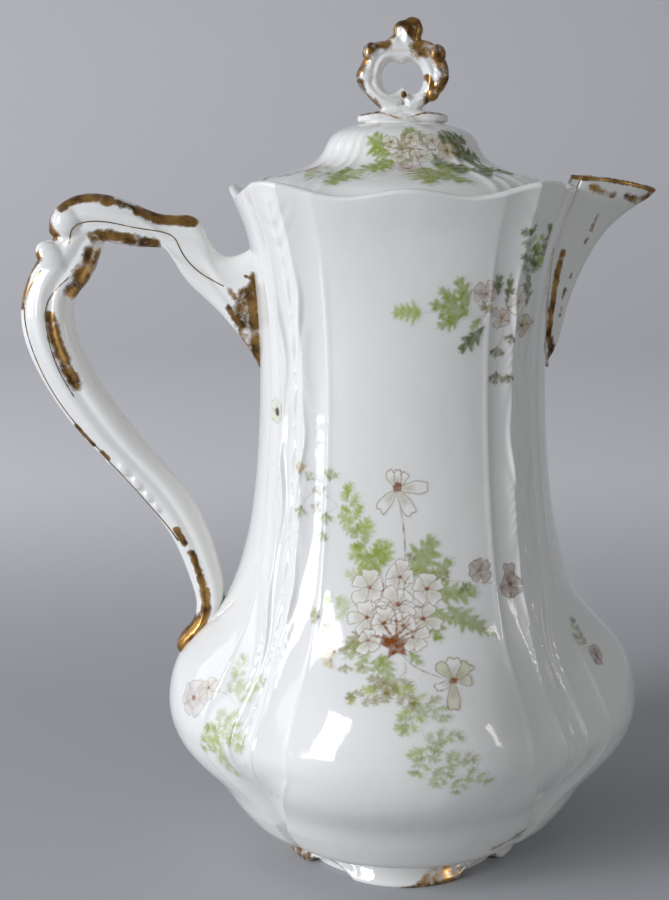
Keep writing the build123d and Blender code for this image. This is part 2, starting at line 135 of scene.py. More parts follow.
def crest_relief(across, height):
    """Leafy shell that ends a column under the rim: a mid rib with curled leaves on both sides."""
    rise = np.clip((height - 176) / 12, 0, 1) * np.clip((199.5 - height) / 4, 0, 1)
    spread = 3.0 + 4.0 * np.clip((height - 180) / 16, 0, 1)
    within = np.exp(-((np.abs(across) / spread) ** 4))
    leaves = np.cos(2 * np.pi * (height - 0.55 * np.abs(across) - 0.06 * across**2) / 5.2)
    rib = np.exp(-((across / 0.9) ** 2))
    return rise * within * (0.14 * leaves + 0.3 * rib + 0.12)


def body_reach(turn, height):
    """Reach of the body from its axis, turn in degrees from the middle of the nearest column."""
    lobe, channel = reach_on(lobe_line, height), reach_on(channel_line, height)
    width = 0.2 + 0.8 * np.clip((height - 20) / 23, 0, 1)
    ridge_at, roll_at = ridge_turn * width, roll_turn * width
    ridge = channel + (0.35 + 0.4 * (1 - width)) * (lobe - channel)
    on_lobe = arc_reach(45 - np.abs(turn), 45 - ridge_at, lobe, ridge)
    roll = channel + width * roll_height
    part = (np.abs(turn) - roll_at) / (ridge_at - roll_at)
    on_flat = roll + part * (ridge - roll) - 4 * width * flat_sink * part * (1 - part)
    in_channel = channel + width * roll_height * (turn / roll_at) ** 2
    reach = np.where(np.abs(turn) < roll_at, in_channel, on_flat)
    reach = np.where(np.abs(turn) > ridge_at, on_lobe, reach)
    across = reach * np.radians(turn) / np.clip(width, 0.4, 1)
    full = np.clip((height - 24) / 14, 0, 1) * np.clip((rim_height - 16 - height) / 10, 0, 1)
    ridge_line = 0.3 * np.exp(-(((np.abs(turn) - ridge_at) / 0.8) ** 2))
    return reach + full * (column_relief(across, height) + ridge_line) + crest_relief(across, height)


def rim_level(angle):
    """Height of the scalloped rim in a direction given in degrees from the spout."""
    a = np.radians(angle)
    from_spout = np.abs((angle + 180) % 360 - 180)
    beside_spout = 1.9 * np.exp(-(((from_spout - 19) / 8) ** 2))
    return rim_height - 0.95 * np.cos(4 * a) + 1.5 * np.cos(8 * a) + beside_spout


def skin(name, rings, fill=True):
    """Mesh over rings of points in mm, closed around and filled at both ends."""
    rings = np.asarray(rings, float) / 1000
    rows, count = rings.shape[:2]
    corner = np.arange(rows * count).reshape(rows, count)
    after = np.roll(corner, -1, axis=1)
    faces = np.stack([corner[:-1], after[:-1], after[1:], corner[1:]], axis=-1).reshape(-1, 4).tolist()
    points = rings.reshape(-1, 3).tolist()
    if fill:
        for row in (0, rows - 1):
            middle = len(points)
            points.append(rings[row].mean(axis=0).tolist())
            faces += [[middle, int(corner[row, i]), int(after[row, i])] for i in range(count)]
    return solid(name, points, faces)


def solid(name, points, faces):
    """Smooth-shaded object from points in metres, its faces turned outward."""
    mesh = bpy.data.meshes.new(name)
    mesh.from_pydata(points, [], faces)
    piece = bpy.data.objects.new(name, mesh)
    bpy.context.collection.objects.link(piece)
    turn_outward(mesh)
    return piece


def turn_outward(mesh):
    """Turns a mesh's faces outward and shades them smooth."""
    work = bmesh.new()
    work.from_mesh(mesh)
    bmesh.ops.recalc_face_normals(work, faces=work.faces)
    for face in work.faces:
        face.smooth = True
    work.to_mesh(mesh)
    work.free()


# Fine steps over a column and wide ones over the plain lobe after it.
corner_turns = np.concatenate([np.linspace(-15, 15, 81), [16, 17.5], np.linspace(20, 70, 21), [72.5, 74]])
body_turns = np.concatenate([corner + corner_turns for corner in corners])


def body_ring(height):
    """Ring of the outside at a height; near the top it follows the wave of the rim."""
    wave_start = 168
    share = np.clip((height - wave_start) / (rim_height - wave_start), 0, 1) ** 1.5
    level = height + share * (rim_level(body_turns) - rim_height)
    return around(body_reach(body_turns % 90 - 45, level), body_turns, level)


def plain_reach(lobe, corner, angles):
    """Reach of the smooth quatrefoil of the inside, the lid and the foot."""
    corner_turn = 12.0
    turn = np.abs(angles % 90 - 45)
    edge = corner + 0.35 * (lobe - corner)
    on_corner = arc_reach(turn, corner_turn, corner, edge)
    on_lobe = arc_reach(45 - turn, 45 - corner_turn, lobe, edge)
    return np.where(turn < corner_turn, on_corner, on_lobe)


def plain_ring(height, lobe, corner, angles):
    """Ring of that quatrefoil at a height."""
    return around(plain_reach(lobe, corner, angles), angles, height)


wall, lip_wall, lip_round = 3.5, 2.9, 1.2
seat_height, seat_lobe, seat_corner, throat_radius, floor_height = 195.6, 44.2, 48.4, 38.0, 12.0
outside_levels = smooth(lobe_marks[:-1], 300)[:, 1]
rings = [body_ring(level) for level in outside_levels[outside_levels < rim_height - lip_round]]
outer_edge = body_ring(rim_height - lip_round)
inward = outer_edge[:, :2] / np.linalg.norm(outer_edge[:, :2], axis=1)[:, None]
for turn in np.radians(np.linspace(0, 180, 9)):
    ring = outer_edge.copy()
    ring[:, :2] -= inward * (lip_wall / 2 * (1 - math.cos(turn)))
    ring[:, 2] += lip_round * math.sin(turn)
    rings.append(ring)
# Inside the lip the wall drops to the ledge, and the ledge runs in to the round throat.
inner_edge = rings[-1]
seat_edge = plain_ring(seat_height + 0.6, seat_lobe + 0.55, seat_corner + 0.55, body_turns)
for part in (0.2, 0.4, 0.6, 0.8, 1.0):
    rings.append(inner_edge + (seat_edge - inner_edge) * part)
for part in (0, 0.25, 0.5, 0.75, 0.95):
    lobe = seat_lobe + part * (throat_radius - seat_lobe)
    corner = seat_corner + part * (throat_radius - seat_corner)
    rings.append(plain_ring(seat_height, lobe, corner, body_turns))
for depth in (0.5, 4.0):
    rings.append(plain_ring(seat_height - depth, throat_radius, throat_radius, body_turns))
for level in np.linspace(182.0, floor_height + 0.5, 90):
    slope = reach_on(lobe_line, level + 0.5) - reach_on(lobe_line, level - 0.5)
    thick = wall * math.sqrt(1 + slope**2)
    lobe, corner = reach_on(lobe_line, level) - thick, reach_on(channel_line, level) - thick
    rings.append(plain_ring(level, lobe, corner, body_turns))
for lobe, corner in ((36.0, 33.0), (18.0, 17.0)):
    rings.append(plain_ring(floor_height, lobe, corner, body_turns))
body = skin("pot_casting", rings)


# Glaze over hard-paste porcelain: a cool white body under a clear, slightly uneven gloss, which
# gives sharp window reflections with a faint wobble and a few specks of iron from the kiln.
def tone(code):
    """Linear colour of an sRGB hex code."""
    parts = [int(code[i : i + 2], 16) / 255 for i in (1, 3, 5)]
    return tuple(c / 12.92 if c <= 0.04045 else ((c + 0.055) / 1.055) ** 2.4 for c in parts) + (1.0,)


def node(tree, kind, links=None, **settings):
    """One shader node: its settings by name, and its inputs by a value or by the socket they take."""
    made = tree.nodes.new("ShaderNode" + kind)
    for key, value in settings.items():
        setattr(made, key, value)
    for key, value in (links or {}).items():
        if isinstance(value, bpy.types.NodeSocket):
            tree.links.new(value, made.inputs[key])
        else:
            made.inputs[key].default_value = value
    return made


def glaze_start(name):
    """Material with its shader and the parts every glazed surface here shares."""
    made = bpy.data.materials.new(name)
    made.use_nodes = True
    tree = made.node_tree
    shader = tree.nodes["Principled BSDF"]
    shader.inputs["IOR"].default_value = 1.5
    where = node(tree, "TexCoord").outputs["Object"]
    # The glaze pools in shallow waves about 9 mm apart, with finer orange peel of about 1.5 mm.
    waves = node(tree, "TexNoise", {"Vector": where, "Scale": 110.0, "Detail": 1.0}).outputs["Fac"]
    peel = node(tree, "TexNoise", {"Vector": where, "Scale": 650.0, "Detail": 2.0}).outputs["Fac"]
    pooled = node(tree, "Bump", {"Height": waves, "Strength": 0.12, "Distance": 0.002}).outputs["Normal"]
    fine = node(tree, "Bump", {"Height": peel, "Strength": 0.05, "Distance": 0.0004, "Normal": pooled})
    tree.links.new(fine.outputs["Normal"], shader.inputs["Normal"])
    return made, tree, shader, where


def porcelain_colour(tree, where):
    """White of the porcelain under its glaze, with slow clouds and rare iron specks."""
    clouds = node(tree, "TexNoise", {"Vector": where, "Scale": 28.0, "Detail": 3.0}).outputs["Fac"]
    whites = {"Factor": clouds, "A": tone("#E9E9E6"), "B": tone("#F3F2EC")}
    white = node(tree, "Mix", whites, data_type="RGBA").outputs["Result"]
    cells = node(tree, "TexVoronoi", {"Vector": where, "Scale": 55.0, "Randomness": 1.0})
    spot = {"From Min": 0.012, "From Max": 0.03, "To Min": 1.0, "To Max": 0.0}
    speck = node(tree, "MapRange", {"Value": cells.outputs["Distance"], **spot}).outputs["Result"]
    few = node(tree, "SeparateColor", {"Color": cells.outputs["Color"]}).outputs["Red"]
    rare = node(tree, "Math", {0: few, 1: 0.93}, operation="GREATER_THAN").outputs[0]
    seen = node(tree, "Math", {0: speck, 1: rare}, operation="MULTIPLY").outputs[0]
    specked = {"Factor": seen, "A": white, "B": tone("#6B5A4A")}
    return node(tree, "Mix", specked, data_type="RGBA").outputs["Result"]


def glaze_gloss(tree, where):
    """Roughness of the glaze: glossy, with faint dull patches from handling."""
    wear = node(tree, "TexNoise", {"Vector": where, "Scale": 75.0, "Detail": 4.0}).outputs["Fac"]
    dulled = {"Value": wear, "From Min": 0.35, "From Max": 0.75, "To Min": 0.05, "To Max": 0.13}
    return node(tree, "MapRange", dulled).outputs["Result"]


white_glaze, tree, shader, where = glaze_start("glazed_hard_paste_porcelain")
tree.links.new(porcelain_colour(tree, where), shader.inputs["Base Color"])
tree.links.new(glaze_gloss(tree, where), shader.inputs["Roughness"])
body.data.materials.append(white_glaze)
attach(body, "pot")
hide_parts("pot_body")


# ---- Foot ring ----
# A lobed ring of the same porcelain, luted under the belly before firing. Its edge lifts in a
# low arch at each corner, where burnished gold is left from the gilder's brush.
foot_lobe, foot_corner = 35.0, 31.5
foot_turns = np.linspace(0, 360, 240, endpoint=False)


def foot_arch(angles):
    """How far the edge of the foot lifts: 3 mm at a corner, over 17 degrees to each side."""
    return 3.0 * np.clip(1 - ((angles % 90 - 45) / 17.0) ** 2, 0, 1) ** 0.8


# Outside of the foot from the belly down: height, how far it is drawn in, and its share of the arch.
foot_rows = []
for height, inset, lift in (
    (9.6, 1.2, 0), (8.4, 1.3, 0), (7.0, 1.7, 0), (5.6, 1.9, 0), (4.2, 1.7, 0.4), (3.0, 1.1, 0.7),
    (2.0, 0.4, 0.9), (1.2, 0.0, 1), (0.6, 0.1, 1), (0.15, 0.5, 1), (0.0, 1.1, 1), (0.0, 2.4, 1),
):
    ring = plain_ring(height, foot_lobe - inset, foot_corner - inset, foot_turns)
    ring[:, 2] += lift * foot_arch(foot_turns)
    foot_rows.append(ring)
for radius, height in ((30.2, 1.2), (29.5, 0.4), (29.1, 0), (27.2, 0), (26.7, 0.2), (26.5, 0.8), (26.2, 8.6)):
    foot_rows.append(plain_ring(height, radius, radius, foot_turns))
foot = skin("foot_ring_casting", foot_rows, fill=False)
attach(foot, "pot")
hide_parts("foot_ring")


# ---- Gilding ----
# Burnished gold brushed over the fired glaze along the scrolls and edges. A century of handling
# has rubbed it thin, so it breaks up into patches and specks with brown, matt borders.
def points_of(piece):
    """Points of a piece in mm."""
    points = np.empty(len(piece.data.vertices) * 3)
    piece.data.vertices.foreach_get("co", points)
    return points.reshape(-1, 3) * 1000


def near_line(points, line, width):
    """1 on a line and 0 beyond its width, for points and a line given in the same axes."""
    line = smooth(line, 12 * len(line))
    gap = np.min(np.linalg.norm(points[:, None] - line[None], axis=2), axis=1)
    return np.clip(1.5 - gap / width, 0, 1)


gilded_glaze, tree, shader, where = glaze_start("burnished_gold_on_porcelain")
brush = node(tree, "Attribute", attribute_name="gilt").outputs["Fac"]
# The gold is rubbed through in patches of about 3 mm, and its brown ground shows at the borders.
patchy = {"Vector": where, "Scale": 330.0, "Detail": 6.0, "Roughness": 0.62}
rubbed = node(tree, "TexNoise", patchy).outputs["Fac"]
worn = node(tree, "Math", {0: rubbed, 1: 1.5, 2: -0.75}, operation="MULTIPLY_ADD").outputs[0]
left_gold = node(tree, "Math", {0: brush, 1: worn}, operation="ADD").outputs[0]
covered = {"Value": left_gold, "From Min": 0.36, "From Max": 0.74}
gold_cover = node(tree, "MapRange", covered).outputs["Result"]
# Where it is thick, over about 6 mm, it is yellow and bright; where thin, it is brown and duller. These
# patches are partly real wear and partly painted light: the yellow stands in for highlights and the brown for
# the darker room reflected in the gold, spread at random.
uneven = {"Vector": where, "Scale": 170.0, "Detail": 5.0, "Roughness": 0.6}
thick = node(tree, "TexNoise", uneven).outputs["Fac"]
thickness_and_painted_highlight = node(tree, "MapRange", {"Value": thick, "From Min": 0.38, "From Max": 0.62}).outputs["Result"]
gold_tones_and_painted_reflection = {"Factor": thickness_and_painted_highlight, "A": tone("#5A3F22"), "B": tone("#C79A58")}
gold = node(tree, "Mix", gold_tones_and_painted_reflection, data_type="RGBA").outputs["Result"]
over_glaze = {"Factor": gold_cover, "A": porcelain_colour(tree, where), "B": gold}
gilded = node(tree, "Mix", over_glaze, data_type="RGBA").outputs["Result"]
sheen = node(tree, "MapRange", {"Value": thickness_and_painted_highlight, "To Min": 0.42, "To Max": 0.24}).outputs["Result"]
glosses = {"Factor": gold_cover, "A": glaze_gloss(tree, where), "B": sheen}
gloss = node(tree, "Mix", glosses, data_type="FLOAT").outputs["Result"]
metal = node(tree, "Math", {0: gold_cover, 1: 0.85}, operation="MULTIPLY").outputs[0]
tree.links.new(gilded, shader.inputs["Base Color"])
tree.links.new(metal, shader.inputs["Metallic"])
tree.links.new(gloss, shader.inputs["Roughness"])


def gild(piece, cover):
    """Gives a piece the gilded glaze, with gold from 0 to 1 thick at each of its points."""
    layer = piece.data.attributes.new("gilt", "FLOAT", "POINT")
    layer.data.foreach_set("value", np.clip(cover, 0, 1).astype(np.float32))
    piece.data.materials.append(gilded_glaze)


def gild_strokes(piece, strokes, first=0.0):
    """Gilds a piece by brush strokes in its side view: each a line, its width and its strength."""
    cover, side_view = first, points_of(piece)[:, (0, 2)]
    for line, width, strength in strokes:
        cover = np.maximum(cover, strength * near_line(side_view, line, width))
    gild(piece, cover)


# On the foot a patch is left on the front right of each lobe, and a trace on the edge beside it.
points = points_of(foot)
angle = np.degrees(np.arctan2(points[:, 1], points[:, 0]))
along_lobe = (angle + 45) % 90 - 45
patch_height = np.interp(along_lobe, (-6, 4, 15, 28, 38, 41), (0.0, 1.6, 6.4, 4.6, 2.2, 0.0))
on_patch = np.clip(1.5 - points[:, 2] / np.maximum(patch_height, 0.1), 0, 1) * (patch_height > 0.2)
edge_gap = np.abs(points[:, 2] - foot_arch(angle) - 0.5)
at_edge = np.clip(1.2 - edge_gap / 0.7, 0, 1) * (np.abs(along_lobe + 40) < 8)
outside = np.hypot(points[:, 0], points[:, 1]) > 30.5
gild(foot, outside * np.maximum(0.72 * on_patch, 0.8 * at_edge))


# ---- Spout ----
# A pressed beak luted over a slot in the front lobe, from the waist to the rim. It opens upward
# like a pointed leaf, and its rolled lip and the seam down its side carry worn gold.
keel_marks = [
    (41.8, 148.0), (45.6, 154.6), (47.8, 163.1), (50.7, 172.2), (54.5, 180.3), (58.3, 186.3), (63.1, 191.3),
    (68.8, 195.4), (73.0, 198.4), (77.4, 205.6),
]
keel_line = smooth(keel_marks, 400)
flank_line = smooth([(1.3, 148.0), (5.5, 163.1), (9.0, 183.3), (11.0, 205.6)], 400)
beak_foot, channel_foot, beak_wall_thickness = 148.0, 156.0, 1.9


def lip_level(reach):
    """Height of the lip at a distance from the axis of the pot."""
    return 202.7 - 4.2 * (np.clip(reach - 50.2, 0, None) / 24.4) ** 1.8


def beak_outline(height, thick):
    """Level outline of one side of the beak wall, from the seam round the nose and back."""
    reach = reach_on(keel_line, height) - thick
    half = max(reach_on(flank_line, height) - thick, 0.5)
    nose = min(2.6 - 0.5 * thick, 0.8 * half)
    seam = reach_on(lobe_line, height) - 1.0
    side = (reach - 0.4 * nose, 0.8 * nose)
    bulge = ((seam + side[0]) / 2, 0.62 * half + 0.5 * side[1])
    flare = 0.5 if thick == 0 else 0.0
    marks = [(seam, half + flare), (seam + 2.2, half + flare / 2), bulge, side]
    return smooth(marks + [(reach, 0)] + [(x, -y) for x, y in marks[::-1]], 61)


def beak_wall(thick, low):
    """Rows of one side of the beak wall, from its foot to its lip."""
    heights = np.linspace(low, 204.5, 160)
    outlines = np.array([beak_outline(height, thick) for height in heights])
    share = np.linspace(0, 1, 44) ** 0.8
    columns = []
    for x, y in outlines.transpose(1, 2, 0):
        top = heights[np.argmax(heights >= lip_level(x))]
        level = low + share * (top - low)
        columns.append(np.stack([np.interp(level, heights, x), np.interp(level, heights, y), level], axis=-1))
    return np.stack(columns, axis=1)


outer_wall, inner_wall = beak_wall(0.0, beak_foot), beak_wall(beak_wall_thickness, channel_foot)
lip_rows = []
for turn in np.linspace(20, 160, 8):
    share = 0.5 - 0.5 * math.cos(math.radians(turn))
    row = outer_wall[-1] * (1 - share) + inner_wall[-1] * share
    row[:, 2] += 0.8 * math.sin(math.radians(turn))
    lip_rows.append(row)
wall_rows = np.concatenate([outer_wall, np.array(lip_rows), inner_wall[::-1]])
beak = skin("spout_beak", wall_rows.transpose(1, 0, 2))

# The slot behind the beak is cut with its inner outline, drawn back through the wall of the neck.
slot_rings = []
slot_back, slot_inset = 34.0, 2.7
for level in np.linspace(channel_foot + 1, 207.0, 26):
    inner = beak_outline(min(level, 204.0), slot_inset)
    inner = np.concatenate([[(slot_back, inner[0, 1])], inner, [(slot_back, inner[-1, 1])]])
    slot_rings.append(np.column_stack([inner, np.full(len(inner), level)]))
slot_cutter = skin("slot_cutter", slot_rings)
cut = body.modifiers.new("pour_slot", "BOOLEAN")
cut.operation, cut.object, cut.solver = "DIFFERENCE", slot_cutter, "FAST"


def settle(piece):
    """Puts a piece's modifiers into its mesh."""
    made = bpy.data.meshes.new_from_object(piece.evaluated_get(bpy.context.evaluated_depsgraph_get()))
    piece.modifiers.clear()
    piece.data = made


settle(body)
bpy.data.objects.remove(slot_cutter)
points = points_of(beak)
on_lip = np.clip(1.2 - np.abs(lip_level(points[:, 0]) - points[:, 2] + 0.2) / 1.1, 0, 1)
beak_strokes = [
    ([(53.6, 200.2), (56.6, 198.6), (59.6, 198.4)], 1.5, 0.62),
    ([(64.4, 197.6), (67.6, 196.6), (71.4, 197.6)], 1.5, 0.72),
    ([(45.6, 182.0), (43.9, 173.0), (42.9, 163.0), (42.5, 158.0)], 1.1, 0.85),
    ([(42.6, 157.6), (43.6, 153.8), (43.0, 150.0)], 1.4, 0.72),
    ([(55.6, 192.2), (55.0, 190.6)], 0.7, 0.7),
    ([(54.4, 188.6), (53.8, 187.6)], 0.8, 0.7),
    ([(53.4, 185.6), (52.6, 184.6)], 0.6, 0.7),
    ([(49.4, 176.4), (48.6, 174.4)], 0.5, 0.62),
    ([(47.2, 171.0), (46.6, 168.6)], 0.6, 0.62),
    ([(46.4, 165.4), (45.8, 162.6)], 0.6, 0.62),
]
gild_strokes(beak, beak_strokes, on_lip)
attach(beak, "pot")
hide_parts("spout")


# ---- Handle ----
# Two pressed C-scrolls that meet at the elbow: a short one that flares into the neck, and a long
# one that ends in a gilded curl on the belly. Both have an outer and an inner roll with a groove.
def scroll(outer_marks, inner_marks, count):
    """Rings of a scroll between its outer and its inner line; the outer line's y is half its width."""
    phase = np.linspace(0, 2 * np.pi, 40, endpoint=False)
    a, b = np.cos(phase), np.sin(phase)
    groove = 1 - 0.16 * np.exp(-(((a + 0.12) / 0.15) ** 2)) - 0.07 * np.exp(-(((a - 0.5) / 0.1) ** 2))
    reach = np.sign(a) * np.abs(a) ** 0.92
    width = np.sign(b) * np.abs(b) ** 0.8 * groove
    rings = []
    for outer, inner in zip(smooth(outer_marks, count), smooth(inner_marks, count)):
        across = np.array([outer[0] - inner[0], 0, outer[2] - inner[2]])
        middle = np.array([outer[0] + inner[0], 0, outer[2] + inner[2]]) / 2
        rings.append(middle + across / 2 * reach[:, None] + np.outer(width * outer[1], (0, 1, 0)))
    return rounded(rings)


def rounded(rings):
    """Adds shrinking rings at both ends, so that a sweep ends in a half ball."""
    ends = []
    for end, before in ((rings[0], rings[1]), (rings[-1], rings[-2])):
        middle = end.mean(axis=0)
        onward = middle - before.mean(axis=0)
        onward /= np.linalg.norm(onward)
        size = 0.5 * np.linalg.norm(end - middle, axis=1).min()
        turns = np.radians([20, 40, 60, 78])
        ends.append([middle + (end - middle) * math.cos(t) + onward * size * math.sin(t) for t in turns])
    return np.array(ends[0][::-1] + list(rings) + ends[1])


def ball(centre, size, turn=0.0):
    """Rings of an ellipsoid with half axes along x, y and z, turned about y by degrees."""
    c, s = math.cos(math.radians(turn)), math.sin(math.radians(turn))
    rings = []
    for t in np.radians(np.linspace(4, 176, 18)):
        phase = np.linspace(0, 2 * np.pi, 28, endpoint=False)
        x, y = size[0] * math.sin(t) * np.cos(phase), size[1] * math.sin(t) * np.sin(phase)
        z = np.full_like(phase, size[2] * math.cos(t))
        rings.append(np.stack([c * x + s * z, y, -s * x + c * z], axis=-1) + np.array(centre))
    return np.array(rings)


def fused(name, parts, grain, passes):
    """One closed casting out of parts that run into each other, with soft joins."""
    pieces = [skin(name + "_raw", part) for part in parts]
    points, faces, start = [], [], 0
    for raw in pieces:
        points += [v.co[:] for v in raw.data.vertices]
        faces += [[start + i for i in f.vertices] for f in raw.data.polygons]
        start += len(raw.data.vertices)
        bpy.data.objects.remove(raw)
    piece = solid(name, points, faces)
    melt = piece.modifiers.new("melt", "REMESH")
    melt.mode, melt.voxel_size = "VOXEL", grain / 1000
    soften = piece.modifiers.new("soften", "SMOOTH")
    soften.factor, soften.iterations = 0.5, passes
    settle(piece)
    turn_outward(piece.data)
    return piece


def keep_out_of_body(piece, depth):
    """Moves points that reach through the body wall back into the thickness of the wall."""
    points = points_of(piece)
    reach = np.hypot(points[:, 0], points[:, 1])
    turn = np.degrees(np.arctan2(points[:, 1], points[:, 0])) % 90 - 45
    least = body_reach(turn, np.clip(points[:, 2], 9, 205)) - depth
    grow = np.where(reach < least, least / np.maximum(reach, 1), 1)
    points[:, :2] *= grow[:, None]
    piece.data.vertices.foreach_set("co", (points / 1000).ravel())
    piece.data.update()


upper_outer = [
    (-41.0, 6.2, 185.0), (-46.0, 6.1, 181.6), (-50.2, 6.0, 180.5), (-53.4, 5.9, 181.8), (-55.9, 5.8, 185.0),
    (-57.6, 5.7, 189.0), (-60.0, 5.6, 191.8), (-64.0, 5.5, 192.5), (-70.0, 5.5, 192.8), (-78.0, 6.0, 196.0),
    (-87.0, 6.5, 198.5), (-95.5, 6.4, 197.3), (-100.8, 5.8, 192.6), (-101.6, 4.2, 188.2),
]
upper_inner = [
    (-41.0, 0, 146.0), (-45.4, 0, 154.0), (-55.0, 0, 166.0), (-63.6, 0, 175.0), (-68.0, 0, 182.2),
    (-77.5, 0, 183.2), (-85.5, 0, 185.0), (-91.0, 0, 186.0), (-95.0, 0, 186.5), (-97.5, 0, 186.0),
]
lower_outer = [
    (-92.0, 4.5, 193.0), (-99.0, 5.6, 187.4), (-105.4, 6.6, 179.4), (-109.4, 7.0, 171.0),
    (-110.6, 7.0, 162.0), (-108.3, 6.9, 151.8), (-102.2, 6.6, 139.4), (-93.5, 6.4, 127.2),
    (-83.7, 6.0, 116.9), (-75.2, 5.7, 106.8), (-68.2, 5.5, 96.2), (-64.0, 5.2, 85.4), (-62.0, 5.2, 77.0),
    (-63.4, 5.2, 71.4), (-66.6, 4.8, 67.6), (-68.3, 3.6, 63.8), (-67.2, 2.4, 61.6),
]
lower_inner = [
    (-84.6, 0, 188.0), (-87.4, 0, 181.0), (-90.6, 0, 174.0), (-94.8, 0, 168.6), (-95.4, 0, 162.4),
    (-93.6, 0, 154.8), (-88.3, 0, 143.8), (-81.4, 0, 133.4), (-74.2, 0, 123.8), (-66.2, 0, 114.4),
    (-59.4, 0, 102.8), (-55.2, 0, 90.0), (-53.6, 0, 79.0), (-56.0, 0, 71.0), (-60.0, 0, 65.6),
    (-63.4, 0, 62.2), (-65.0, 0, 61.0),
]
handle_parts = [scroll(upper_outer, upper_inner, 90), scroll(lower_outer, lower_inner, 170)]
for side in (-1, 1):
    handle_parts.append(ball((-95.8, 4.2 * side, 190.6), (4.4, 3.2, 4.3)))
    handle_parts.append(ball((-100.6, 4.4 * side, 180.6), (5.4, 2.9, 3.8), 48))
    for x, z, size in ((-81.4, 119.2, 2.2), (-77.9, 114.6, 1.9), (-74.9, 110.6, 1.6), (-72.4, 107.2, 1.3)):
        handle_parts.append(ball((x, 5.0 * side, z), (size * 1.25, size * 0.6, size * 0.9), 50))
handle_parts.append(ball((-86.0, 0, 120.8), (2.4, 4.2, 1.5), 50))
handle = fused("handle_scrolls", handle_parts, 0.45, 7)
keep_out_of_body(handle, 1.4)

handle_strokes = [
    ([(-97.6, 194.8), (-93.4, 196.7), (-88.0, 197.3), (-83.6, 196.7)], 1.5, 0.95),
    ([(-84.0, 197.0), (-79.0, 195.2), (-75.0, 193.8)], 1.1, 0.62),
    ([(-76.0, 193.9), (-70.0, 191.7), (-64.0, 191.0), (-60.2, 190.8)], 1.6, 0.95),
    ([(-88.2, 186.6), (-84.0, 186.6), (-78.7, 185.8), (-71.4, 184.2)], 2.0, 0.82),
    ([(-101.4, 193.6), (-101.8, 190.0), (-99.8, 186.6)], 1.7, 0.95),
    ([(-89.2, 181.2), (-91.2, 176.6), (-94.6, 170.6)], 2.7, 0.8),
    ([(-104.0, 181.0), (-107.4, 176.6), (-109.2, 171.0), (-109.8, 166.9)], 1.5, 0.85),
    ([(-101.2, 163.6), (-100.0, 157.8), (-98.0, 151.3), (-94.8, 144.0)], 2.1, 0.82),
    ([(-95.3, 131.7), (-90.6, 126.2)], 0.8, 0.9),
    ([(-88.2, 123.9), (-86.3, 122.0)], 0.9, 0.85),
    ([(-66.9, 100.4), (-64.6, 96.4)], 1.1, 0.95),
    ([(-62.9, 93.6), (-61.6, 90.0), (-60.8, 87.6)], 1.2, 0.95),
    ([(-60.3, 86.0), (-59.5, 83.6)], 1.2, 0.95),
    ([(-59.2, 81.6), (-58.8, 76.0), (-60.0, 71.6)], 1.5, 0.95),
    ([(-61.0, 71.4), (-64.4, 67.0), (-67.0, 62.6)], 3.0, 1.0),
    ([(-42.6, 174.4), (-43.4, 168.0), (-43.0, 158.0), (-42.2, 148.8)], 2.0, 0.82),
    ([(-45.4, 170.0), (-46.6, 164.0), (-45.4, 158.6), (-43.2, 151.6)], 2.7, 0.68),
    ([(-50.6, 166.2), (-47.8, 161.5), (-44.6, 153.0)], 1.0, 0.66),
    ([(-50.0, 171.6), (-48.6, 169.0)], 1.0, 0.68),
    ([(-45.6, 175.2), (-43.6, 174.4)], 0.5, 0.8),
]
gild_strokes(handle, handle_strokes)
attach(handle, "pot")
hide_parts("handle")


def hairline(name, line, width, strength):
    """Thin gilder's line on both sides of the handle, drawn in its side view."""
    lift, beside = 0.00007, 0.05
    marks = smooth(line, 24 * len(line)) / 1000
    along = np.gradient(marks, axis=0)
    across = np.stack([-along[:, 1], along[:, 0]], axis=-1)
    across *= width / 2000 / np.linalg.norm(across, axis=1)[:, None]
    points, faces = [], []
    for side in (-1, 1):
        before = None
        for mark, way in zip(marks, across):
            pair = []
            for x, z in (mark - way, mark + way):
                hit, spot, facing, _ = handle.ray_cast(Vector((x, side * beside, z)), Vector((0, -side, 0)))
                pair.append(spot + facing * lift if hit else None)
            if None in pair:
                before = None
                continue
            points += [spot[:] for spot in pair]
            here = len(points) - 2
            if before is not None:
                faces.append((before, before + 1, here + 1, here))
            before = here
    ribbon = solid(name, points, faces)
    gild(ribbon, np.full(len(points), strength))
    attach(ribbon, "pot")


bpy.context.view_layer.update()
upper_line = [
    (-95.4, 184.6), (-93.2, 189.6), (-84.7, 190.7), (-75.7, 188.9), (-66.1, 186.6), (-63.5, 182.2),
    (-58.9, 176.6), (-51.6, 172.3),
]
inner_line = [
    (-95.6, 175.0), (-101.0, 169.6), (-102.6, 164.8), (-102.0, 157.0), (-99.3, 148.0), (-95.4, 140.6),
]
outer_line = [
    (-103.6, 177.0), (-107.9, 170.0), (-108.8, 163.0), (-106.6, 153.0), (-101.6, 141.6), (-95.2, 132.2),
    (-88.2, 124.0),
]
lower_line = [(-87.0, 122.0), (-82.0, 116.2), (-75.8, 108.8), (-69.6, 101.4), (-66.6, 97.0)]
hairline("handle_line_upper", upper_line, 0.32, 0.86)
hairline("handle_line_inner", inner_line, 0.28, 0.74)
hairline("handle_line_outer", outer_line, 0.34, 0.78)
hairline("handle_line_lower", lower_line, 0.4, 0.9)


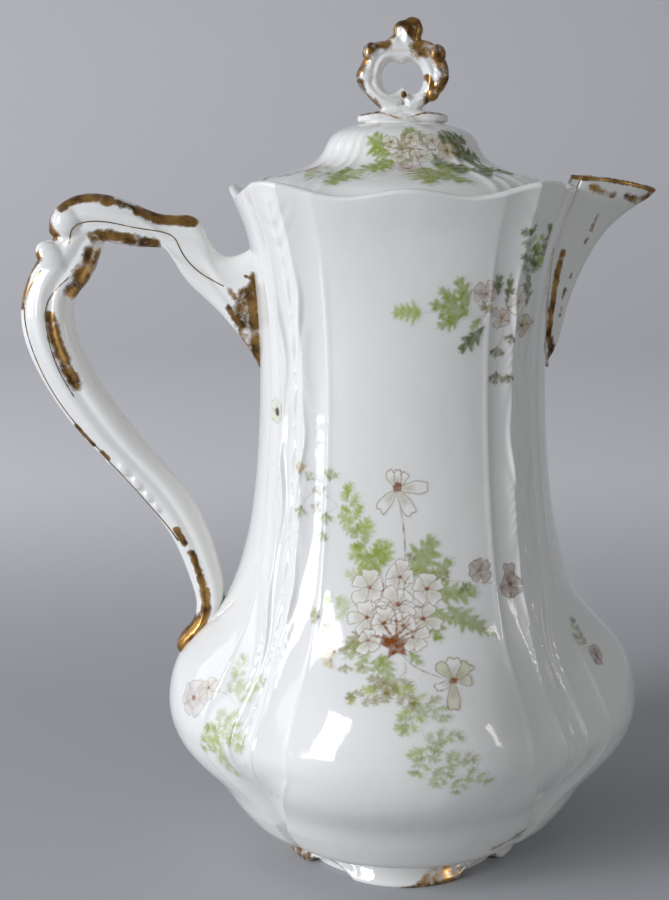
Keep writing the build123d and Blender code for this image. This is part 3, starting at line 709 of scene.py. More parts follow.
# ---- Lid ----
# A loose cast lid: a brim that rests on the ledge, a four-lobed dome whose corners carry on the
# columns as flutes, and a flange underneath that drops into the throat.
lid_marks = [
    (0.5, 218.9), (6.0, 218.8), (12.1, 218.2), (16.1, 217.1), (19.4, 215.5), (21.4, 213.2), (22.7, 210.5),
    (24.9, 207.8), (29.5, 205.5), (37.0, 203.3), (41.9, 200.8), (44.1, 198.2),
]
lid_line = smooth(lid_marks, 90)
lid_corner_turns = np.concatenate([np.linspace(-16, 16, 45), np.linspace(19, 71, 27)])
lid_turns = np.concatenate([corner + lid_corner_turns for corner in corners])
slope = np.gradient(lid_line, axis=0)
outward = np.stack([-slope[:, 1], slope[:, 0]], axis=-1)
outward /= np.linalg.norm(outward, axis=1)[:, None]


def lid_flutes(turn, reach):
    """Raised flutes on the corners of the lid, fading out at the crown and at the brim."""
    turn = np.abs(turn)
    full = np.clip((reach - 16) / 12, 0, 1) * np.clip((44.5 - reach) / 3, 0, 1)
    shape = 0.5 * np.exp(-(((turn - 11.5) / 2.0) ** 2)) + 0.42 * np.exp(-(((turn - 4.6) / 1.7) ** 2))
    return full * (shape - 0.25 * np.exp(-((turn / 2.2) ** 2)))


def lid_lobing(reach):
    """How much further the lid reaches at its corners than on its crests, nothing at the crown."""
    return 1 + 0.0295 * np.clip((reach - 6) / 12, 0, 1)


def lid_ring(reach, height, out):
    """Ring of the lid through a point of its crest line, with the flutes raised outward."""
    rise = lid_flutes(lid_turns % 90 - 45, reach)
    ring = plain_ring(height, reach, reach * lid_lobing(reach), lid_turns)
    return ring + around(out[0] * rise, lid_turns, out[1] * rise)


lid_rings = [lid_ring(reach, height, out) for (reach, height), out in zip(lid_line, np.abs(outward))]
# The brim turns under and lies on the ledge; the flange drops into the throat and is hollow.
for reach, height in ((44.5, 197.2), (44.45, 196.3), (44.1, 195.8), (43.5, 195.6), (40.5, 195.6)):
    lid_rings.append(plain_ring(height, reach, reach + 1.3, lid_turns))
for reach, height in (
    (37.9, 195.5), (37.5, 195.0), (37.5, 191.0), (37.5, 188.6), (37.2, 187.9), (36.5, 187.6), (35.0, 187.6),
    (34.4, 187.9), (34.1, 188.6), (34.1, 193.0), (34.0, 197.4), (30.5, 200.4), (26.0, 202.6), (22.2, 205.1),
    (20.0, 208.0), (18.2, 210.5), (14.5, 213.0), (9.4, 214.6), (4.0, 214.9), (0.6, 214.9),
):
    lid_rings.append(plain_ring(height, reach, reach, lid_turns))
lid = skin("lid_casting", lid_rings)
lid.data.materials.append(white_glaze)
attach(lid, "lid")
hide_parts("lid")


# ---- Finial ----
# A pressed knob in the form of two mirrored scrolls round a heart-shaped opening. It stands on
# two curled leaves, has a bud on top that leans towards the spout, and is gilded on its outside.
left_outer = [
    (0.5, 4.4, 241.6), (-4.4, 4.6, 241.3), (-7.6, 5.0, 240.9), (-10.3, 5.1, 238.6), (-11.6, 5.2, 235.4),
    (-13.2, 5.2, 231.8), (-12.2, 5.0, 228.4), (-9.6, 4.6, 225.4), (-6.6, 4.0, 222.6), (-3.0, 3.4, 220.6),
]
right_outer = [
    (-0.5, 4.4, 241.6), (4.6, 4.6, 241.6), (8.2, 5.0, 240.9), (11.4, 5.2, 237.6), (13.1, 5.2, 233.6),
    (12.9, 5.2, 230.0), (11.4, 4.9, 227.2), (9.2, 4.5, 225.4), (6.4, 4.0, 223.2), (3.4, 3.4, 220.8),
]
left_inner = [
    (-0.2, 0, 234.9), (-2.4, 0, 235.5), (-4.6, 0, 234.4), (-5.8, 0, 231.8), (-5.7, 0, 229.2),
    (-4.6, 0, 227.3), (-3.0, 0, 226.7), (-1.5, 0, 227.2), (-0.4, 0, 228.2), (0.2, 0, 228.6),
]
right_inner = [(-x, 0, z) for x, _, z in left_inner]
finial_parts = [scroll(left_outer, left_inner, 60), scroll(right_outer, right_inner, 60)]
bud_left = [(-1.8, 3.8, 239.6), (-1.2, 3.8, 242.6), (-0.6, 3.4, 245.2), (1.4, 2.4, 247.4)]
bud_right = [(5.2, 0, 239.6), (5.3, 0, 242.2), (5.9, 0, 244.4), (5.2, 0, 246.4)]
finial_parts.append(scroll(bud_left, bud_right, 24))
finial_parts.append(ball((2.6, 0, 244.8), (3.1, 3.0, 2.9), 10))
finial_parts.append(ball((0.2, 0, 243.8), (2.9, 2.6, 3.2), -8))
finial_parts.append(ball((-2.2, 0, 240.9), (2.6, 3.4, 1.9), -20))
for side, tip in ((-1, -12.2), (1, 12.4)):
    middle = tip * 0.5
    leaf_top = [(tip, 3.0, 220.9), (tip * 0.85, 4.6, 221.3), (middle, 5.6, 221.9), (0.3 * side, 4.4, 223.6)]
    leaf_foot = [(tip * 1.02, 0, 218.5), (tip * 0.8, 0, 218.3), (middle, 0, 218.2), (0.1 * side, 0, 218.4)]
    finial_parts.append(scroll(leaf_top, leaf_foot, 26))
for x, z, size in (
    (-9.6, 238.0, 2.5), (-11.3, 231.6, 2.5), (10.4, 237.4, 2.6), (11.4, 231.2, 2.5), (9.0, 226.6, 2.0),
):
    for side in (-1, 1):
        finial_parts.append(ball((x * 0.93, 3.4 * side, z), (size, 2.2, size * 1.1)))
neck_turns = np.linspace(0, 360, 60, endpoint=False)
neck_marks = ((217.4, 10.4), (218.2, 10.8), (218.9, 10.2), (219.5, 8.0), (220.4, 5.4), (221.6, 3.8))
finial_parts.append(np.array([plain_ring(z, reach, reach * 0.82, neck_turns) for z, reach in neck_marks]))
for side in (-1, 1):
    finial_parts.append(ball((0.2, 4.5 * side, 226.2), (0.9, 1.0, 1.2)))
finial = fused("finial_knob", finial_parts, 0.33, 5)
points = points_of(finial)
from_bead = np.hypot(points[:, 0] - 0.2, points[:, 2] - 226.2)
on_bead = np.clip(1.4 - from_bead / 1.3, 0, 1) * (np.abs(points[:, 1]) > 4.6)
finial_strokes = [
    ([(-5.0, 240.4), (-8.0, 240.0), (-10.6, 237.4), (-12.0, 234.8), (-13.2, 232.6)], 2.3, 0.8),
    ([(-12.4, 229.4), (-11.6, 226.8), (-9.8, 224.6), (-7.8, 222.8)], 1.8, 0.76),
    (
        [(4.8, 239.4), (8.2, 238.9), (10.6, 236.4), (12.3, 232.6), (12.1, 228.8), (10.2, 225.6),
         (8.4, 224.0)], 3.1, 0.8,
    ),
    ([(6.9, 231.0), (8.2, 228.6), (7.2, 225.8)], 1.2, 0.85),
    ([(0.6, 246.6), (3.8, 246.4), (5.4, 243.6), (4.8, 240.6)], 1.7, 0.95),
    ([(1.4, 245.0), (3.6, 242.0)], 1.6, 0.85), ([(-2.9, 242.6), (-2.4, 245.0), (-0.6, 246.9)], 1.3, 0.8),
    ([(-12.2, 220.4), (-7.0, 221.2), (-1.0, 219.4)], 0.35, 0.6),
    ([(12.4, 220.4), (7.0, 221.2), (1.0, 219.6)], 0.35, 0.6),
]
gild_strokes(finial, finial_strokes, on_bead)
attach(finial, "lid")
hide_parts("finial")


# ---- Painted sprays ----
# Loose fern fronds and five-petalled blossoms, transfer-printed in brown line and washed in by
# hand in enamel, then fired onto the glaze. Each colour lies on the surface as a thin skin of
# enamel, thin at its borders so that the white shows through.
enamel, tree, shader, where = glaze_start("fired_enamel_on_glaze")
wash = node(tree, "Attribute", attribute_name="wash")
# The wash is uneven where the brush lifted, in patches of about 1.5 mm.
brushwork = node(tree, "TexNoise", {"Vector": where, "Scale": 640.0, "Detail": 3.0}).outputs["Fac"]
lifts = {"Value": brushwork, "From Min": 0.3, "From Max": 0.7, "To Min": 0.72, "To Max": 1.15}
lifted = node(tree, "MapRange", lifts).outputs["Result"]
cover = node(tree, "Math", {0: wash.outputs["Alpha"], 1: lifted}, operation="MULTIPLY", use_clamp=True)
washes = {"Factor": cover.outputs[0], "A": porcelain_colour(tree, where), "B": wash.outputs["Color"]}
painted = node(tree, "Mix", washes, data_type="RGBA").outputs["Result"]
tree.links.new(painted, shader.inputs["Base Color"])
tree.links.new(glaze_gloss(tree, where), shader.inputs["Roughness"])

fern_green, pale_green, grey_green = "#90A03E", "#ABB958", "#9CA76A"
olive, dark_green = "#8A8236", "#5E6828"
line_brown, rust, lilac, straw = "#845630", "#86470F", "#8E786A", "#C9B070"
petal_white, shade = "#F2F0E9", "#BDB08C"
grid, margin = 0.2, 0.8
dice = np.random.default_rng(11)


class Spray:
    """A drawing in mm on a grid of points 0.2 mm apart, laid on a surface afterwards."""

    def __init__(self, left, right, low, high):
        self.x, self.y = np.meshgrid(np.arange(left, right, grid), np.arange(low, high, grid))
        self.ink = np.zeros(self.x.shape + (3,))
        self.cover = np.zeros(self.x.shape)

    def near(self, points):
        """Window of the grid round some points, and the places in it."""
        low, high = points.min(axis=0) - margin, points.max(axis=0) + margin
        rows = slice(*np.searchsorted(self.y[:, 0], (low[1], high[1])))
        columns = slice(*np.searchsorted(self.x[0], (low[0], high[0])))
        return (rows, columns), np.stack([self.x[rows, columns], self.y[rows, columns]], axis=-1)

    def put(self, window, ink, strength):
        """Lays a colour over what is drawn in a window, as thickly as its strength."""
        under = self.cover[window] * (1 - strength)
        total = strength + under
        colour = np.array(tone(ink)[:3]) * strength[..., None] + self.ink[window] * under[..., None]
        self.ink[window] = np.where(total[..., None] > 1e-4, colour / np.maximum(total, 1e-4)[..., None], 0)
        self.cover[window] = total

    def wash(self, edge, ink, strength, soft=0.5):
        """Colour inside an edge that thins out towards it."""
        edge = np.asarray(edge, float)
        window, spots = self.near(edge)
        start, run = edge, np.roll(edge, -1, axis=0) - edge
        to = spots[:, :, None] - start
        share = np.clip((to * run).sum(axis=-1) / ((run**2).sum(axis=-1) + 1e-9), 0, 1)
        gap = np.linalg.norm(to - share[..., None] * run, axis=-1).min(axis=-1)
        over = (start[:, 1] > spots[..., 1:]) != (start[:, 1] + run[:, 1] > spots[..., 1:])
        slant = run[:, 0] * to[..., 1] / np.where(np.abs(run[:, 1]) < 1e-9, 1e-9, run[:, 1])
        inside = (over & (to[..., 0] < slant)).sum(axis=-1) % 2
        depth = np.where(inside == 1, gap, -gap)
        self.put(window, ink, strength * np.clip(0.5 + depth / soft, 0, 1))

    def line(self, marks, width, ink, strength=0.8, broken=0.3):
        """Pen line that starts and ends in a point and is thin in places."""
        run = smooth(marks, 12 * len(marks) + 10)
        window, spots = self.near(run)
        gap = np.linalg.norm(spots[:, :, None] - run, axis=-1)
        at = gap.argmin(axis=-1)
        along = np.linspace(0, 1, len(run))
        press = np.sin(np.linspace(0.2, math.pi - 0.2, len(run))) ** 0.4
        press *= 1 - broken * (0.5 + 0.5 * np.sin(along * 9 * len(marks) + dice.uniform(0, 6)))
        reach = 0.5 * width * press[at] + 0.12 - gap.min(axis=-1)
        self.put(window, ink, strength * press[at] * np.clip(reach / grid, 0, 1))

    def leaf(self, base, tip, width, cuts, ink, strength, vein=olive):
        """Deeply cut leaf with finger-like lobes that lean forward, and its veins."""
        base, tip = np.array(base, float), np.array(tip, float)
        along = tip - base
        size = np.linalg.norm(along)
        side = np.array([-along[1], along[0]]) / (size + 1e-9)
        edge = []
        for hand in (1, -1):
            t = np.linspace(0.0, 1.0, 9 * cuts)
            start = dice.uniform(0, 0.35)
            tooth = (t * cuts + start) % 1
            grow = dice.uniform(0.7, 1.2, cuts + 2)[(t * cuts + start).astype(int)]
            full = np.sin(math.pi * np.clip(t, 0.03, 1) ** 0.8) ** 0.7
            half = 0.5 * width * full * grow * (0.46 + 0.54 * np.sin(math.pi * tooth) ** 1.3)
            fore = t + 0.5 / cuts * np.sin(math.pi * tooth)
            points = base + fore[:, None] * along + hand * half[:, None] * side
            edge += points[::hand].tolist()
        soft = min(0.9, 0.3 + 0.08 * width)
        self.wash(edge, ink, strength, soft)
        self.line([base - 0.05 * along, base + 0.5 * along, base + 0.9 * along], 0.16, vein, 0.55 * strength)
        for k in range(cuts):
            root = base + (k + 0.3) / cuts * 0.8 * along
            for hand in (-1, 1):
                reach = 0.26 * width * math.sin(math.pi * (k + 0.8) / (cuts + 0.6))
                end = root + 0.45 / cuts * along + hand * reach * side
                self.line([root, (root + end) / 2, end], 0.1, vein, 0.35 * strength)

    def frond(self, base, tip, bow, pairs, spread, ink, strength=0.8, vein=olive):
        """Fern frond: cut leaflets in pairs that grow shorter towards the tip."""
        base, tip = np.array(base, float), np.array(tip, float)
        along = tip - base
        side = np.array([-along[1], along[0]]) / np.linalg.norm(along)
        run = smooth([base, base + 0.5 * along + bow * side, tip], 40)
        heading = np.gradient(run, axis=0)
        heading /= np.linalg.norm(heading, axis=1)[:, None]
        self.line([base, run[20], tip], 0.28, vein, 0.6 * strength)
        for pair in range(pairs):
            share = 0.14 + 0.74 * pair / max(pairs - 1, 1)
            for hand in (-1, 1):
                k = int(np.clip(share + dice.uniform(-0.04, 0.04), 0, 1) * 39)
                reach = 0.86 * spread * (1.1 - 0.6 * share) * dice.uniform(0.75, 1.15)
                turn = math.radians(hand * (56 - 16 * share) + dice.uniform(-10, 10))
                c, s = math.cos(turn), math.sin(turn)
                out = np.array([c * heading[k][0] - s * heading[k][1], s * heading[k][0] + c * heading[k][1]])
                tint = ink if dice.random() < 0.7 else pale_green
                cuts = 4 if reach > 3.4 else 3
                depth = strength * dice.uniform(0.75, 1.05)
                self.leaf(run[k], run[k] + out * reach, 0.82 * reach, cuts, tint, depth, vein)
        self.leaf(run[33], run[33] + heading[38] * spread * 0.5, 0.34 * spread, 3, ink, strength, vein)

    def petal(
        self, base, tip, width, fill=petal_white, strength=0.85, outline=line_brown, weight=0.3, flush=shade
    ):
        """Petal with a wavy end, a shade at its foot, fine veins and a broken pen outline."""
        base, tip = np.array(base, float), np.array(tip, float)
        along = tip - base
        side = np.array([-along[1], along[0]]) / (np.linalg.norm(along) + 1e-9)
        turn = np.linspace(0, 2 * math.pi, 36, endpoint=False)
        wave = 1 + 0.12 * np.cos(3 * turn + dice.uniform(0, 6)) + 0.08 * np.cos(5 * turn + dice.uniform(0, 6))
        notch = dice.uniform(0.03, 0.16) * np.exp(-(((turn - math.pi) / 0.4) ** 2))
        reach = (0.5 - 0.5 * np.cos(turn)) * (1 - notch)
        swell = np.sin(turn) * (0.74 - 0.44 * np.cos(turn)) * wave
        edge = base + reach[:, None] * along + (0.5 * width * swell)[:, None] * side
        self.wash(edge, fill, strength, 0.4)
        self.wash(base + (edge - base) * dice.uniform(0.5, 0.72), flush, 0.5 * strength, 1.8)
        self.line(edge[2:-1], weight, outline, 0.85, 0.5)
        for bend in (-0.16, 0, 0.16):
            end = base + 0.6 * along + bend * width * side
            self.line([base, (base + end) / 2, end], 0.1, outline, 0.3)

    def blossom(self, centre, size, turn, fill=petal_white, strength=0.85, squash=1.0, lean=0.0, **look):
        """Open blossom of uneven petals round a rust eye, seen at a slant when squashed."""
        centre = np.array(centre, float)
        c, s = math.cos(math.radians(lean)), math.sin(math.radians(lean))
        for k in dice.permutation(5):
            away = math.radians(turn + 72 * k + dice.uniform(-16, 16))
            x, y = math.cos(away), squash * math.sin(away)
            way = np.array([c * x - s * y, s * x + c * y])
            reach = size * dice.uniform(0.72, 1.18)
            broad = size * dice.uniform(0.74, 1.16)
            self.petal(centre + 0.06 * size * way, centre + reach * way, broad, fill, strength, **look)
        t = np.linspace(0, 6.28, 9, endpoint=False)
        eye = np.stack([0.13 * size * np.cos(t), 0.11 * size * np.sin(t)], axis=-1)
        self.wash(eye * dice.uniform(0.8, 1.3, (9, 1)) + centre, rust, 0.9, 0.3)
        for k in range(5):
            away = math.radians(turn + 36 + 72 * k + dice.uniform(-15, 15))
            way = np.array([math.cos(away), squash * math.sin(away)])
            self.line([centre, centre + 0.2 * size * way, centre + 0.42 * size * way], 0.16, rust, 0.7)

    def bud(self, centre, size, turn, fill=fern_green, strength=0.6):
        """Small bud of three sepals with a brown heart."""
        centre = np.array(centre, float)
        for k in (-48, 0, 48):
            away = math.radians(turn + k)
            tip = centre + size * np.array([math.cos(away), math.sin(away)])
            self.leaf(centre, tip, 0.7 * size, 2, fill, strength * dice.uniform(0.8, 1.1), line_brown)
        t = np.linspace(0, 6, 8)
        eye = np.stack([0.16 * size * np.cos(t), 0.22 * size * np.sin(t)], axis=-1)
        self.wash(eye + centre, line_brown, 0.6, 0.3)

    def lay(self, name, place, body_name):
        """Lays the drawing on a surface given by place, and makes it one piece."""
        # Bare points next to the drawing take its colour, so that its edge fades into no other one.
        for _ in range(4):
            bare = self.cover < 0.01
            for shift, axis in ((1, 0), (-1, 0), (1, 1), (-1, 1)):
                beside = np.roll(self.ink, shift, axis=axis)
                take = bare & (beside.sum(axis=-1) > 0) & (self.ink.sum(axis=-1) == 0)
                self.ink[take] = beside[take]
        # Only the cells with some cover become faces.
        seen = self.cover > 0.015
        cell = seen[:-1, :-1] | seen[1:, :-1] | seen[1:, 1:] | seen[:-1, 1:]
        kept = np.zeros(seen.shape, bool)
        for down, right in ((0, 0), (0, 1), (1, 0), (1, 1)):
            kept[down : down + cell.shape[0], right : right + cell.shape[1]] |= cell
        number = np.cumsum(kept.ravel()).reshape(kept.shape) - 1
        row, column = np.nonzero(cell)
        faces = [number[row + down, column + right] for down, right in ((0, 0), (0, 1), (1, 1), (1, 0))]
        laid = place(self.x[kept], self.y[kept])
        mesh = bpy.data.meshes.new(name)
        mesh.from_pydata((laid / 1000).tolist(), [], np.stack(faces, axis=-1).tolist())
        mesh.polygons.foreach_set("use_smooth", [True] * len(mesh.polygons))
        colours = mesh.color_attributes.new("wash", "FLOAT_COLOR", "POINT")
        inks = np.concatenate([self.ink[kept], self.cover[kept][:, None]], axis=1)
        colours.data.foreach_set("color", inks.astype(np.float32).ravel())
        piece = bpy.data.objects.new(name, mesh)
        bpy.context.collection.objects.link(piece)
        mesh.materials.append(enamel)
        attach(piece, body_name)


lobe_run = np.concatenate([[0], np.cumsum(np.linalg.norm(np.diff(lobe_line, axis=0), axis=1))])


def on_body(angle, height):
    """Surface round a point of the body, for drawings in mm to the right and up from it."""
    run_here = np.interp(height, lobe_line[:, 1], lobe_run)
    reach_here = body_reach(np.array([angle % 90 - 45.0]), np.array([height]))[0]

    def reach_at(a, level):
        return body_reach(a % 90 - 45, level)

    def place(x, y):
        step, lift = 0.2, 0.05
        level = np.interp(run_here + y, lobe_run, lobe_line[:, 1])
        a = angle + np.degrees(x / reach_here)
        reach = reach_at(a, level)
        slant = (reach_at(a + step, level) - reach_at(a - step, level)) / (np.radians(2 * step) * reach)
        rise = (reach_at(a, level + step) - reach_at(a, level - step)) / (2 * step)
        t = np.radians(a)
        out = np.stack([np.cos(t) + slant * np.sin(t), np.sin(t) - slant * np.cos(t), -rise], axis=-1)
        out /= np.linalg.norm(out, axis=1)[:, None]
        return around(reach, a, level) + out * lift

    return place


def main_spray():
    """Large spray of the front: a cluster of blossoms, cut leaves all round and trailing flowers."""
    spray = Spray(-36, 42, -56, 43)
    for base, tip, bow, pairs, spread, ink, strength in (
        ((-2, 9), (-16, 34), 2.5, 7, 8.5, pale_green, 0.85),
        ((-3, 9), (-13, 21), -1.0, 4, 7.0, fern_green, 0.7),
        ((-8, 0), (-19.5, 1.8), 1.0, 4, 6.0, pale_green, 0.5),
        ((0.9, -19), (-9.6, -25.8), 1.5, 5, 5.5, olive, 0.75),
        ((1.5, -17.5), (4.0, -27), -1.0, 4, 5.5, olive, 0.75),
        ((3.2, -26), (10.5, -31), 2.0, 4, 4.6, grey_green, 0.7),
        ((4.5, -27), (2.2, -34), 0.8, 4, 4.8, grey_green, 0.75),
        ((6.4, -37.5), (13.4, -36), 1.2, 4, 3.6, grey_green, 0.7),
        ((6.6, -37), (4.2, -45), 0.8, 4, 4.2, grey_green, 0.75),
        ((9.9, -42.8), (15.8, -42.4), 0.8, 4, 3.4, grey_green, 0.7),
        ((9.9, -42.6), (8.0, -48.4), 0.6, 4, 3.6, grey_green, 0.7),
        ((13.4, -46.6), (18.4, -49.0), 1.0, 3, 3.4, fern_green, 0.6),
        ((13.2, -46.4), (12.2, -51.0), 0.4, 3, 3.2, fern_green, 0.6),
    ):
        spray.frond(base, tip, bow, pairs, spread, ink, strength)
    for base, tip, width, cuts, ink, strength in (
        ((4.6, 8.6), (11.6, 19.6), 10.5, 5, fern_green, 0.8),
        ((9, 6.6), (16.4, 13.2), 6.5, 4, fern_green, 0.8),
        ((10, 4.6), (23.6, 3.6), 7.4, 5, fern_green, 0.8),
        ((14, 0.6), (26.2, -8.4), 6.8, 6, grey_green, 0.85),
        ((16, -0.6), (21, -6), 4.5, 4, grey_green, 0.6), ((9, 0), (11.6, -8.6), 6.2, 4, fern_green, 0.85),
        ((9.4, 0.4), (16, -3.6), 4.6, 4, fern_green, 0.8),
        ((-6.6, -5.4), (-13.6, -12.6), 6.4, 5, olive, 0.75),
        ((-6, -8), (-12, -14), 4.4, 4, fern_green, 0.6),
        ((-2.4, -12), (-0.8, -19.6), 5.2, 4, fern_green, 0.8),
        ((-3, -12), (-4.6, -17.4), 3.6, 3, fern_green, 0.75),
        ((3.4, -11), (6.6, -15), 3.6, 3, fern_green, 0.75),
        ((-4, 9), (-8.6, 14.6), 5.2, 4, fern_green, 0.75),
        ((-8, 8), (-14.6, 9.4), 4.6, 4, pale_green, 0.5),
        ((-6, -11), (-8.6, -16.6), 3.0, 3, fern_green, 0.7),
    ):
        spray.leaf(base, tip, width, cuts, ink, strength)
    for marks, width, strength in (
        ([(2.7, 10.2), (2.5, 20.4), (0.9, 29.6)], 0.44, 0.9),
        ([(-12.5, 22), (-19, 28.5), (-26, 33), (-30.3, 36)], 0.22, 0.5),
        ([(-18, 27.6), (-22, 24.6), (-22.5, 19.6)], 0.2, 0.5),
        ([(-24, 32), (-28.6, 29), (-29.8, 25)], 0.2, 0.5),
        ([(1.4, -11.6), (5.4, -16), (12.4, -20)], 0.34, 0.85),
        ([(2.4, -14), (2.6, -17), (1.2, -19)], 0.24, 0.6), ([(10, 8.2), (20, 7), (33, 5.2)], 0.26, 0.6),
        ([(5, -25), (6.4, -36), (10, -42.6), (13.2, -46.6)], 0.2, 0.35),
    ):
        spray.line(marks, width, line_brown, strength)
    for x, y, size, turn, ink in (
        (-30.6, 36.4, 2.8, 100, straw), (-28.2, 34.4, 2.4, 60, fern_green),
        (-29.6, 26.6, 2.6, 260, fern_green), (-20.9, 35.0, 3.0, 80, fern_green),
        (-24.1, 30.6, 2.8, 100, olive), (-24.6, 27.6, 2.4, 240, olive),
        (-21.7, 25.4, 2.8, 270, fern_green), (-22.5, 20.2, 2.6, 260, fern_green),
        (-21.4, -3.4, 2.8, 180, fern_green), (-19.4, -5.4, 2.4, 320, fern_green),
        (-15.2, -12.6, 3.0, 200, straw), (-15.6, -15.2, 2.6, 230, straw), (-11.7, -16.2, 2.4, 280, olive),
        (-7.4, -15.8, 2.4, 290, fern_green), (4.6, 15.4, 2.0, 250, dark_green),
        (15.2, 8.6, 2.6, 150, olive), (19.6, 6.4, 2.6, 300, dark_green),
    ):
        spray.bud((x, y), size, turn, ink)
    for x, y, size, turn in (
        (-7.4, 6.0, 5.4, 150), (1.2, 9.0, 4.6, 80), (9.0, 5.6, 5.0, 20), (-7.6, -2.2, 5.2, 190),
        (7.4, -2.4, 5.2, 340), (0.8, 1.6, 5.6, 40), (-2.8, -3.6, 4.8, 100), (4.6, -7.4, 4.2, 300),
        (-6.8, -8.6, 3.8, 230), (2.2, -4.2, 4.6, 70),
    ):
        spray.blossom((x, y), size, turn)
    heart = [
        (-3.0, -6.4), (-1.2, -7.6), (0.6, -6.2), (1.4, -7.8), (3.8, -7.6), (2.4, -9.8), (3.2, -12.6),
        (0.6, -11.8), (-1.6, -13.4), (-1.4, -10.6), (-3.6, -9.4),
    ]
    spray.wash(heart, rust, 0.95, 0.5)
    for x, y, bow in (
        (-4.6, -2.6, 0.6), (4.0, -3.6, -0.5), (-0.6, 1.0, 0.8), (6.4, -5.2, -0.6), (-6.4, -7.0, 0.5),
    ):
        spray.line([(0, -8.6), (x / 2 + bow, (y - 8.6) / 2), (x, y)], 0.7, rust, 0.85)
    for marks in (
        [(-6.4, -1.4), (-4.8, 0.8), (-3.0, 0.2), (-1.6, 2.2)],
        [(-1.6, 2.4), (0.6, 1.2), (2.8, 2.6), (4.6, 1.8)], [(2.4, 3.0), (2.8, 7.4), (4.4, 9.4)],
        [(-3.6, -4.6), (-1.4, -2.6), (1.2, -3.2), (3.4, -1.6), (5.6, -2.2)],
        [(-4.4, 3.0), (-3.4, 5.6), (-4.2, 8.4)], [(5.0, 1.8), (6.4, 0.6), (9.2, 1.6)],
    ):
        spray.line(marks, 0.5, line_brown, 0.75)
    for x, y, width in (
        (-5.6, 26.4, 4.4), (5.4, 25.4, 4.6), (-2.6, 38.2, 3.0), (3.4, 37.6, 3.0), (10.4, 33.6, 4.4),
        (0.6, 38.6, 2.8),
    ):
        spray.petal((0.4, 33.0), (x, y), width, petal_white, 0.8, weight=0.42, flush="#A39A66")
    spray.wash([(-0.6, 32), (1.6, 32.4), (1.8, 34.4), (0.2, 35), (-1, 33.8)], rust, 0.9, 0.5)
    for tip, width, ink in (
        ((9.0, -22.4), 2.8, petal_white), ((12.4, -29.6), 3.4, "#D9D6BC"), ((18.2, -21.0), 3.6, "#D9D6BC"),
        ((18.4, -15.4), 4.6, "#D3D8B4"), ((14.6, -13.0), 3.8, petal_white), ((10.4, -14.6), 3.4, "#D3D8B4"),
    ):
        spray.petal((13.4, -20.4), tip, width, ink, 0.8, weight=0.4, flush="#A9A277")
    spray.wash([(12.4, -21), (14, -21.4), (14.6, -19.8), (13, -19.4)], rust, 0.9, 0.5)
    spray.blossom((25.1, 9.8), 3.8, 20, "#BFAC9C", 0.75, 0.9, outline="#654234", weight=0.36, flush=lilac)
    spray.blossom((34.5, 4.6), 5.4, 80, "#B3A08F", 0.8, 0.6, 85, outline="#583C32", weight=0.38, flush=lilac)
    return spray


main_spray().lay("front_spray", on_body(-94.6, 87.9), "pot")
main_spray().lay("back_spray", on_body(85.4, 87.9), "pot")


def neck_spray():
    """Smaller spray that crosses the column under the rim."""
    spray = Spray(-38, 16, -24, 27)
    for base, tip, width, cuts, ink, strength in (
        ((-25, 0.8), (-33.4, 0.6), 7.0, 5, pale_green, 0.9),
        ((-11, 0), (-22.6, 3.0), 7.6, 5, fern_green, 0.85),
        ((-12, 1.6), (-15.4, 9.8), 5.4, 4, fern_green, 0.85),
        ((-14, -0.4), (-20.4, -3.4), 4.6, 4, fern_green, 0.85),
        ((-15, 3), (-20.4, 7.0), 4.6, 4, fern_green, 0.8),
        ((-6.8, -3.4), (-14.0, -10.2), 4.8, 4, dark_green, 0.85),
        ((-3.2, 4.4), (-3.9, 10.4), 3.6, 3, dark_green, 0.85),
        ((0.6, -0.6), (-0.3, 9.8), 3.4, 4, dark_green, 0.85),
        ((7.4, 1), (6.0, 10.2), 4.2, 4, dark_green, 0.8),
        ((-8, -1), (-11, -4.4), 3.2, 3, fern_green, 0.8), ((-4, 0.4), (-8.4, 2.0), 3.6, 3, olive, 0.8),
    ):
        spray.leaf(base, tip, width, cuts, ink, strength, dark_green)
    spray.frond((6.7, 9.0), (2.6, 22.6), -1.0, 5, 5.6, dark_green, 0.85, dark_green)
    spray.frond((8.6, 11.0), (10.4, 23.0), 1.0, 5, 5.0, dark_green, 0.85, dark_green)
    spray.line([(-24, 0.8), (-8.3, -0.7), (3.5, 1.0), (7, 9)], 0.26, line_brown, 0.6)
    spray.line([(0, -2), (-1.6, -9), (-2.4, -16)], 0.2, line_brown, 0.5)
    for x, y, size, turn in (
        (-2.3, -9.6, 2.8, 260), (-2.4, -16.6, 3.2, 265), (0.8, -17.4, 2.2, 285), (1.6, -6.4, 2.2, 250),
    ):
        spray.bud((x, y), size, turn, dark_green, 0.75)
    spray.blossom((-7.0, 5.4), 3.6, 60, "#C8B6A4", 0.5, outline="#8A6650", flush=lilac)
    spray.blossom((3.4, 2.6), 4.4, 95, petal_white, 0.7, outline="#8A5A48")
    spray.blossom((6.2, -4.0), 4.0, 30, "#CFC2A0", 0.7, 0.85, 20, outline="#7E5A3C")
    spray.blossom((-1.6, -1.4), 3.2, 10, "#D8C8B8", 0.6, outline="#8A5A48")
    return spray


neck_spray().lay("neck_spray_front", on_body(-53.0, 167.5), "pot")
neck_spray().lay("neck_spray_back", on_body(127.0, 167.5), "pot")


